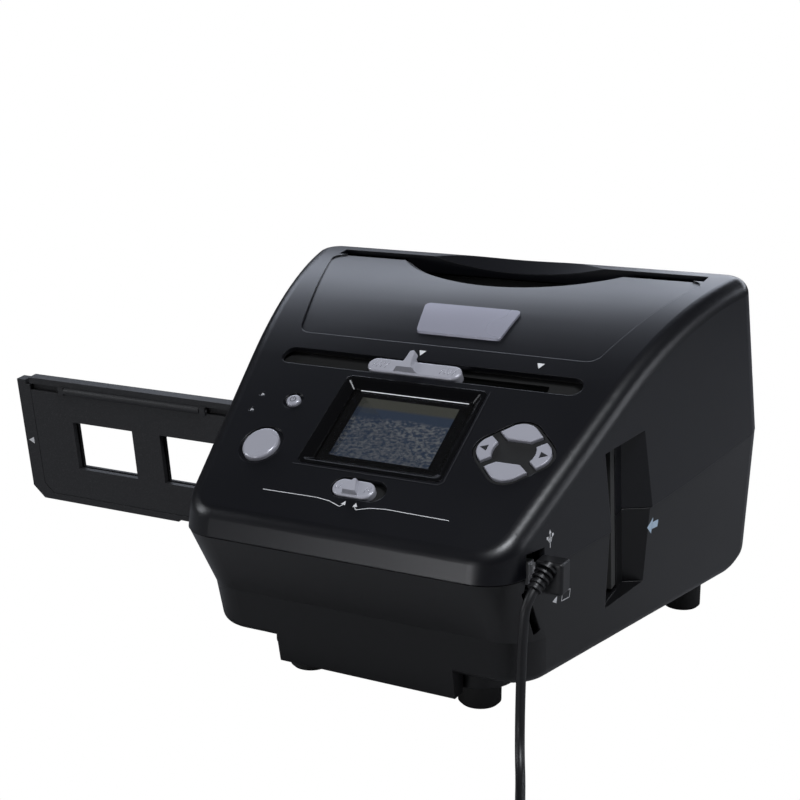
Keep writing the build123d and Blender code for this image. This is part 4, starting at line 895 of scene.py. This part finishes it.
@dataclass(frozen=True)
class GripRidges:
    """A row of small slanted ridges for a fingertip.

    Args:
        length_mm, width_mm, height_mm: Size of one ridge.
        pitch_mm: From one ridge to the next.
        count: How many.
    """

    length_mm: float = 4.6
    width_mm: float = 0.75
    height_mm: float = 0.35
    pitch_mm: float = 2.1
    count: int = 4

    def build(self, piece: Piece, name: str, centre: Point2, out_mm: float, lean: float) -> None:
        """Adds the row on the control panel.

        Args:
            piece: The body that the ridges belong to.
            name: Start of each ridge's name.
            centre: Middle of the row on the panel.
            out_mm: Height above the panel.
            lean: Turn of each ridge, in degrees.
        """
        first = -(self.count - 1) / 2
        for step in range(self.count):
            across = centre[0] + (first + step) * self.pitch_mm
            matrix = CASING.panel.matrix(across, centre[1], out_mm, lean)
            piece.add(f"{name}_{step + 1}", self.mesh(f"{name}_{step + 1}"), SILVER_KNOB, matrix)

    def mesh(self, name: str) -> bpy.types.Mesh:
        """Makes one half-buried rounded ridge.

        Args:
            name: Name of the mesh.

        Returns:
            The mesh.
        """
        half_long, half_wide = self.length_mm / 2 * MM, self.width_mm / 2 * MM
        tall = self.height_mm * MM
        rows, columns = 6, 16
        points, faces = [], []
        for row in range(rows + 1):
            fall = math.pi / 2 * row / rows
            for column in range(columns):
                turn = 2 * math.pi * column / columns
                reach = math.cos(fall)
                points.append((
                    half_wide * reach * math.cos(turn),
                    half_long * reach * math.sin(turn),
                    tall * math.sin(fall),
                ))
        for row in range(rows):
            for column in range(columns):
                after = (column + 1) % columns
                low, high = row * columns, (row + 1) * columns
                faces.append([low + column, low + after, high + after, high + column])
        faces.append(list(reversed(range(columns))))
        mesh = bpy.data.meshes.new(name)
        mesh.from_pydata(points, [], faces)
        for polygon in mesh.polygons:
            polygon.use_smooth = True
        return mesh


@dataclass(frozen=True)
class SmallParts:
    """Details too small for the CAD model: grips, a painted highlight on the pane's top edge and
    the lamps' marks.

    Args:
        knob_left, knob_right, switch_left, switch_right: Middles of the grips on the panel.
        knob_top_mm, switch_top_mm: Heights of the faces that the grips stand on.
        pane_middle_mm, pane_up_mm, pane_out_mm: Place of the painted highlight on the panel.
        pane_border_mm: Part of the pane's half width that the frame covers.
        pane_line_mm: Width of the painted highlight.
        lamps: Places of the marks behind the indicator windows.
    """

    knob_left: Point2 = (-22.6, 0.2)
    knob_right: Point2 = (11.4, 0.2)
    switch_left: Point2 = (-9.0, -73.9)
    switch_right: Point2 = (4.8, -73.9)
    knob_top_mm: float = 0.42
    switch_top_mm: float = 0.25
    pane_middle_mm: float = -0.5
    pane_up_mm: float = -14.75
    pane_out_mm: float = -2.88
    pane_border_mm: float = 3.0
    pane_line_mm: float = 0.42
    lamps: tuple[Point2, ...] = ((-71.7, -27.2), (-72.2, -37.4))

    def build(self) -> None:
        """Adds them all."""
        large, small = GripRidges(), GripRidges(3.6, 0.6, pitch_mm=1.5, count=2)
        knob = Piece(Body.BACKLIGHT, Slot.SILVER)
        large.build(knob, "knob_grip_left", self.knob_left, self.knob_top_mm, -18)
        large.build(knob, "knob_grip_right", self.knob_right, self.knob_top_mm, -18)
        switch = Piece(Body.FOCUS, Slot.SILVER)
        small.build(switch, "switch_grip_left", self.switch_left, self.switch_top_mm, -10)
        small.build(switch, "switch_grip_right", self.switch_right, self.switch_top_mm, -10)
        self.add_pane_glint()
        self.lamp_marks()

    def add_pane_glint(self) -> None:
        """Adds a painted highlight: a thin glowing strip standing for light caught on the top cut
        edge of the display's pane.
        """
        low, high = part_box("display_window")
        half_wide = (high.x - low.x) / 2 / MM - self.pane_border_mm
        left = (self.pane_middle_mm - half_wide + 2.0, self.pane_up_mm)
        right = (self.pane_middle_mm + half_wide - 1.0, self.pane_up_mm)
        # Painted highlight: the strip glows to stand for light on the pane's edge, though it is no
        # lamp.
        mesh = flat_mesh("pane_painted_glint", [bar(left, right, self.pane_line_mm)])
        matrix = CASING.panel.matrix(0, 0, self.pane_out_mm)
        Piece(Body.CASING, Slot.WINDOW).add("pane_painted_glint", mesh, PAINTED_GLINT, matrix)

    def lamp_marks(self) -> None:
        """Adds faint pale triangles behind the two indicator windows."""
        place = Piece(Body.CASING, Slot.LENS_MARK)
        for number, (across, up) in enumerate(self.lamps, 1):
            name = f"indicator_mark_{number}"
            mesh = flat_mesh(name, [arrow_head((1.1, 0), 0, 1.9)], 0.02)
            place.add(name, mesh, GREY_PRINT, CASING.panel.matrix(across, up, -0.22))


@dataclass(frozen=True)
class CordRun:
    """The USB cord: its given route to where it leaves the view, then a round coil.

    Args:
        diameter: Cord diameter in metres.
        route: Control points from the plug to the coil, in metres, as in the CAD source.
        coil_outer, pitch: Outer radius of the coil and spacing of its turns.
        steps: Half turns of the lower layer.
        turn_in, turn_out: How far the first turns of the upper layer lie from the innermost one.
        points_per_half_turn, way_out_steps: Control points of a half turn and of the way out.
        leaves: Where the cord leaves the coil, in the coil's own axes.
        length: Length of the whole cord; not used.
    """

    diameter: float = 0.004
    route: tuple[Point3, ...] = (
        (0.0850, -0.1190, 0.0750),
        (0.0836, -0.1239, 0.0704),
        (0.0832, -0.1248, 0.0600),
        (0.0824, -0.1238, 0.0460),
        (0.0819, -0.1229, 0.0315),
        (0.0818, -0.1226, 0.0182),
        (0.0842, -0.1279, 0.00795),
        (0.0885, -0.1370, 0.00205),
        (0.0962, -0.1560, 0.00205),
        (0.1078, -0.1773, 0.00205),
        (0.1150, -0.1934, 0.00205),
    )
    coil_outer: float = 0.0293
    pitch: float = 0.0046
    steps: int = 5
    turn_in: float = 0.0032
    turn_out: float = 0.0018
    points_per_half_turn: int = 12
    way_out_steps: int = 7
    leaves: Point3 = (-0.004, -0.041, 0.0044)
    length: float = 1.08

    def half_turns(self) -> list[Point2]:
        """Works out the coil's half turns, in on the table and out on top.

        Returns:
            Radius and height at the end of each.
        """
        low = self.route[-1][2]
        step = self.pitch / 2
        outer = [self.coil_outer - step * k for k in range(self.steps + 1)]
        inner = outer[-1]
        upper = [inner + self.turn_out + step * k for k in range(self.steps + 1)]
        radii = [inner - self.turn_in, *upper]
        return [(r, low) for r in outer] + [(r, low + self.pitch) for r in radii]

    def coil_points(self) -> list[Vector]:
        """Works out the coil, half turn by half turn.

        Returns:
            Its control points.
        """
        heading = (Vector(self.route[-1]) - Vector(self.route[-2])).normalized()
        side = Vector((-heading.y, heading.x, 0)).normalized()
        ahead = Vector((heading.x, heading.y, 0)).normalized()
        centre = Vector(self.route[-1]) + ahead * self.diameter - side * self.coil_outer
        centre.z = 0
        places = self.half_turns()
        points = []
        for k, ((near, low), (far, high)) in enumerate(zip(places, places[1:])):
            sign = 1 if k % 2 == 0 else -1
            half = (near + far) / 2
            middle = sign * (near - half)
            for step in range(self.points_per_half_turn):
                turn = math.pi * step / self.points_per_half_turn
                across = middle + sign * half * math.cos(turn)
                along = sign * half * math.sin(turn)
                height = low + (high - low) * (1 - math.cos(turn)) / 2
                points.append(centre + side * across + ahead * along + Vector((0, 0, height)))
        last_radius, last_height = places[-1]
        points.append(centre + side * last_radius + Vector((0, 0, last_height)))
        points += self.way_out(centre, side, ahead, last_radius, last_height)
        return points

    def way_out(
        self, centre: Vector, side: Vector, ahead: Vector, radius: float, height: float
    ) -> list[Vector]:
        """Works out the way from the top of the coil round to the far plug.

        Args:
            centre: Centre of the coil on the table.
            side, ahead: The coil's own level axes.
            radius, height: Where the top turn ends.

        Returns:
            Its control points.
        """
        start = Vector((radius, 0, height))
        end = Vector(self.leaves)
        chord = end - start
        lean = math.acos(-chord.y / chord.length)
        bend = chord.length / 2 / math.sin(lean)
        found = []
        for step in range(1, self.way_out_steps + 1):
            turn = 2 * lean * step / self.way_out_steps
            reach = 2 * bend * math.sin(turn / 2)
            angle = turn / 2
            across = radius - reach * math.sin(angle)
            along = reach * math.cos(angle)
            level = height + (end.z - height) * (reach / chord.length)
            found.append(centre + side * across + ahead * along + Vector((0, 0, level)))
        out = (found[-1] - found[-2]).normalized()
        return [*found, found[-1] + out * self.diameter]

    def build(self, nodes: dict[str, bpy.types.Object]) -> bpy.types.Object:
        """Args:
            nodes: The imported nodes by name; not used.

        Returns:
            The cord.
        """
        curve = bpy.data.curves.new("usb_lead", "CURVE")
        curve.dimensions = "3D"
        curve.bevel_depth = self.diameter / 2
        curve.bevel_resolution = 6
        curve.resolution_u = 8
        curve.use_fill_caps = True
        spline = curve.splines.new("NURBS")
        points = [Vector(p) for p in self.route] + self.coil_points()
        spline.points.add(len(points) - 1)
        for spot, point in zip(spline.points, points):
            spot.co = (*point, 1)
        spline.order_u = 3
        spline.use_endpoint_u = True
        curve.materials.append(CORD_BLACK.material())
        lead = bpy.data.objects.new("usb_lead", curve)
        bpy.context.scene.collection.objects.link(lead)
        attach(lead, Body.CASING.value)
        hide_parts("usb_cord", "usb_coil")
        log.info("added usb_lead with %d points", len(points))
        return lead


@dataclass(frozen=True)
class SoftBox:
    """A rectangular studio light.

    Args:
        name: Name of the light.
        place: Where it stands, in metres.
        target: What it points at.
        size: Width and height in metres.
        power: Watts.
        tint: Light colour.
    """

    name: str
    place: Point3
    target: Point3
    size: Point2
    power: float
    tint: Colour = (1.0, 1.0, 1.0)

    def build(self) -> None:
        """Adds the light."""
        light = bpy.data.lights.new(self.name, "AREA")
        light.shape = "RECTANGLE"
        light.size, light.size_y = self.size
        light.energy = self.power
        light.color = self.tint
        lamp = bpy.data.objects.new(self.name, light)
        bpy.context.scene.collection.objects.link(lamp)
        lamp.location = self.place
        way = Vector(self.target) - Vector(self.place)
        lamp.rotation_euler = way.to_track_quat("-Z", "Y").to_euler()
        log.info("added light %s", self.name)


class Studio:
    """White surroundings, a pale floor, soft lights and the camera."""

    FRONT = (0.0, -0.05, 0.1)  # middle of the front, which most lights point at
    COOL = (0.92, 0.95, 1.0)
    LIGHTS = (
        SoftBox("back_left", (-0.75, 1.25, 1.1), (0, 0, 0.15), (1.6, 0.5), 7.5, (0.8, 0.86, 1.0)),
        SoftBox("overhead", (0.55, -0.45, 1.3), FRONT, (0.4, 0.4), 14.0, COOL),
        SoftBox("front_left", (-1.3, -0.7, 0.7), FRONT, (0.3, 0.7), 5.0, COOL),
        SoftBox("low_front", (-0.35, -1.5, 0.12), FRONT, (0.5, 0.2), 3.0, (0.95, 0.96, 1.0)),
        SoftBox("right_edge", (1.4, 0.5, 0.5), (0.05, 0, 0.1), (0.25, 0.8), 3.0, (0.9, 0.93, 1.0)),
        SoftBox("back_rim", (0.3, 1.3, 0.55), (0.0, 0.05, 0.15), (1.4, 0.2), 4.0, (0.85, 0.9, 1.0)),
    )
    WHITE = 1.0
    ROOM = 0.035
    FLOOR_SIZE = 6.0
    FLOOR_LEVEL = -0.0002
    FLOOR_COLOUR = (0.3, 0.3, 0.31)
    FLOOR_ROUGHNESS = 0.9
    CAMERA_PLACE = (0.2835, -0.6157, 0.2853)
    CAMERA_DROP, CAMERA_TURN = 14.13, 27.38  # degrees below level and round the upright
    LENS_MM, SENSOR_MM = 65.61, 36.0
    NEAREST = 0.05

    def build(self) -> None:
        """Builds the whole stage."""
        self.world()
        self.floor()
        for light in self.LIGHTS:
            light.build()
        self.camera()
        bpy.context.scene.view_settings.view_transform = "Standard"

    def world(self) -> None:
        """Makes the surroundings white to the camera and dim to everything else."""
        world = bpy.data.worlds.new("white_room")
        bpy.context.scene.world = world
        world.use_nodes = True
        nodes, links = world.node_tree.nodes, world.node_tree.links
        shade = nodes["Background"]
        path = nodes.new("ShaderNodeLightPath")
        scale = nodes.new("ShaderNodeMapRange")
        scale.inputs["To Min"].default_value = self.ROOM
        scale.inputs["To Max"].default_value = self.WHITE
        links.new(path.outputs["Is Camera Ray"], scale.inputs["Value"])
        shade.inputs["Color"].default_value = (1, 1, 1, 1)
        links.new(scale.outputs["Result"], shade.inputs["Strength"])

    def floor(self) -> None:
        """Adds a pale floor that shows as plain white."""
        bpy.ops.mesh.primitive_plane_add(size=self.FLOOR_SIZE, location=(0, 0, self.FLOOR_LEVEL))
        floor = bpy.context.active_object
        floor.name = "floor"
        made = bpy.data.materials.new("pale_floor")
        made.use_nodes = True
        nodes, links = made.node_tree.nodes, made.node_tree.links
        matt = nodes["Principled BSDF"]
        matt.inputs["Base Color"].default_value = (*self.FLOOR_COLOUR, 1)
        matt.inputs["Roughness"].default_value = self.FLOOR_ROUGHNESS
        white = nodes.new("ShaderNodeEmission")
        white.inputs["Strength"].default_value = self.WHITE
        path = nodes.new("ShaderNodeLightPath")
        mix = nodes.new("ShaderNodeMixShader")
        links.new(path.outputs["Is Camera Ray"], mix.inputs[0])
        links.new(matt.outputs[0], mix.inputs[1])
        links.new(white.outputs[0], mix.inputs[2])
        links.new(mix.outputs[0], nodes["Material Output"].inputs["Surface"])
        floor.data.materials.append(made)

    def camera(self) -> None:
        """Sets the photo's point of view."""
        lens = bpy.data.cameras.new("camera")
        lens.lens = self.LENS_MM
        lens.sensor_width = self.SENSOR_MM
        lens.clip_start = self.NEAREST
        lens.dof.use_dof = False
        camera = bpy.data.objects.new("camera", lens)
        bpy.context.scene.collection.objects.link(camera)
        camera.location = self.CAMERA_PLACE
        pitch, turn = math.radians(90 - self.CAMERA_DROP), math.radians(self.CAMERA_TURN)
        camera.rotation_euler = (pitch, 0.0, turn)
        bpy.context.scene.camera = camera


def main() -> None:
    """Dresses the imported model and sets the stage."""
    logging.basicConfig(level=logging.INFO)
    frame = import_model()
    Dresser(frame["nodes"]).dress()
    log.info("dressed %d nodes", len(frame["nodes"]))
    CordRun().build(frame["nodes"])
    PrintedMarks().build()
    SmallParts().build()
    Studio().build()


if __name__ == "__main__":
    main()
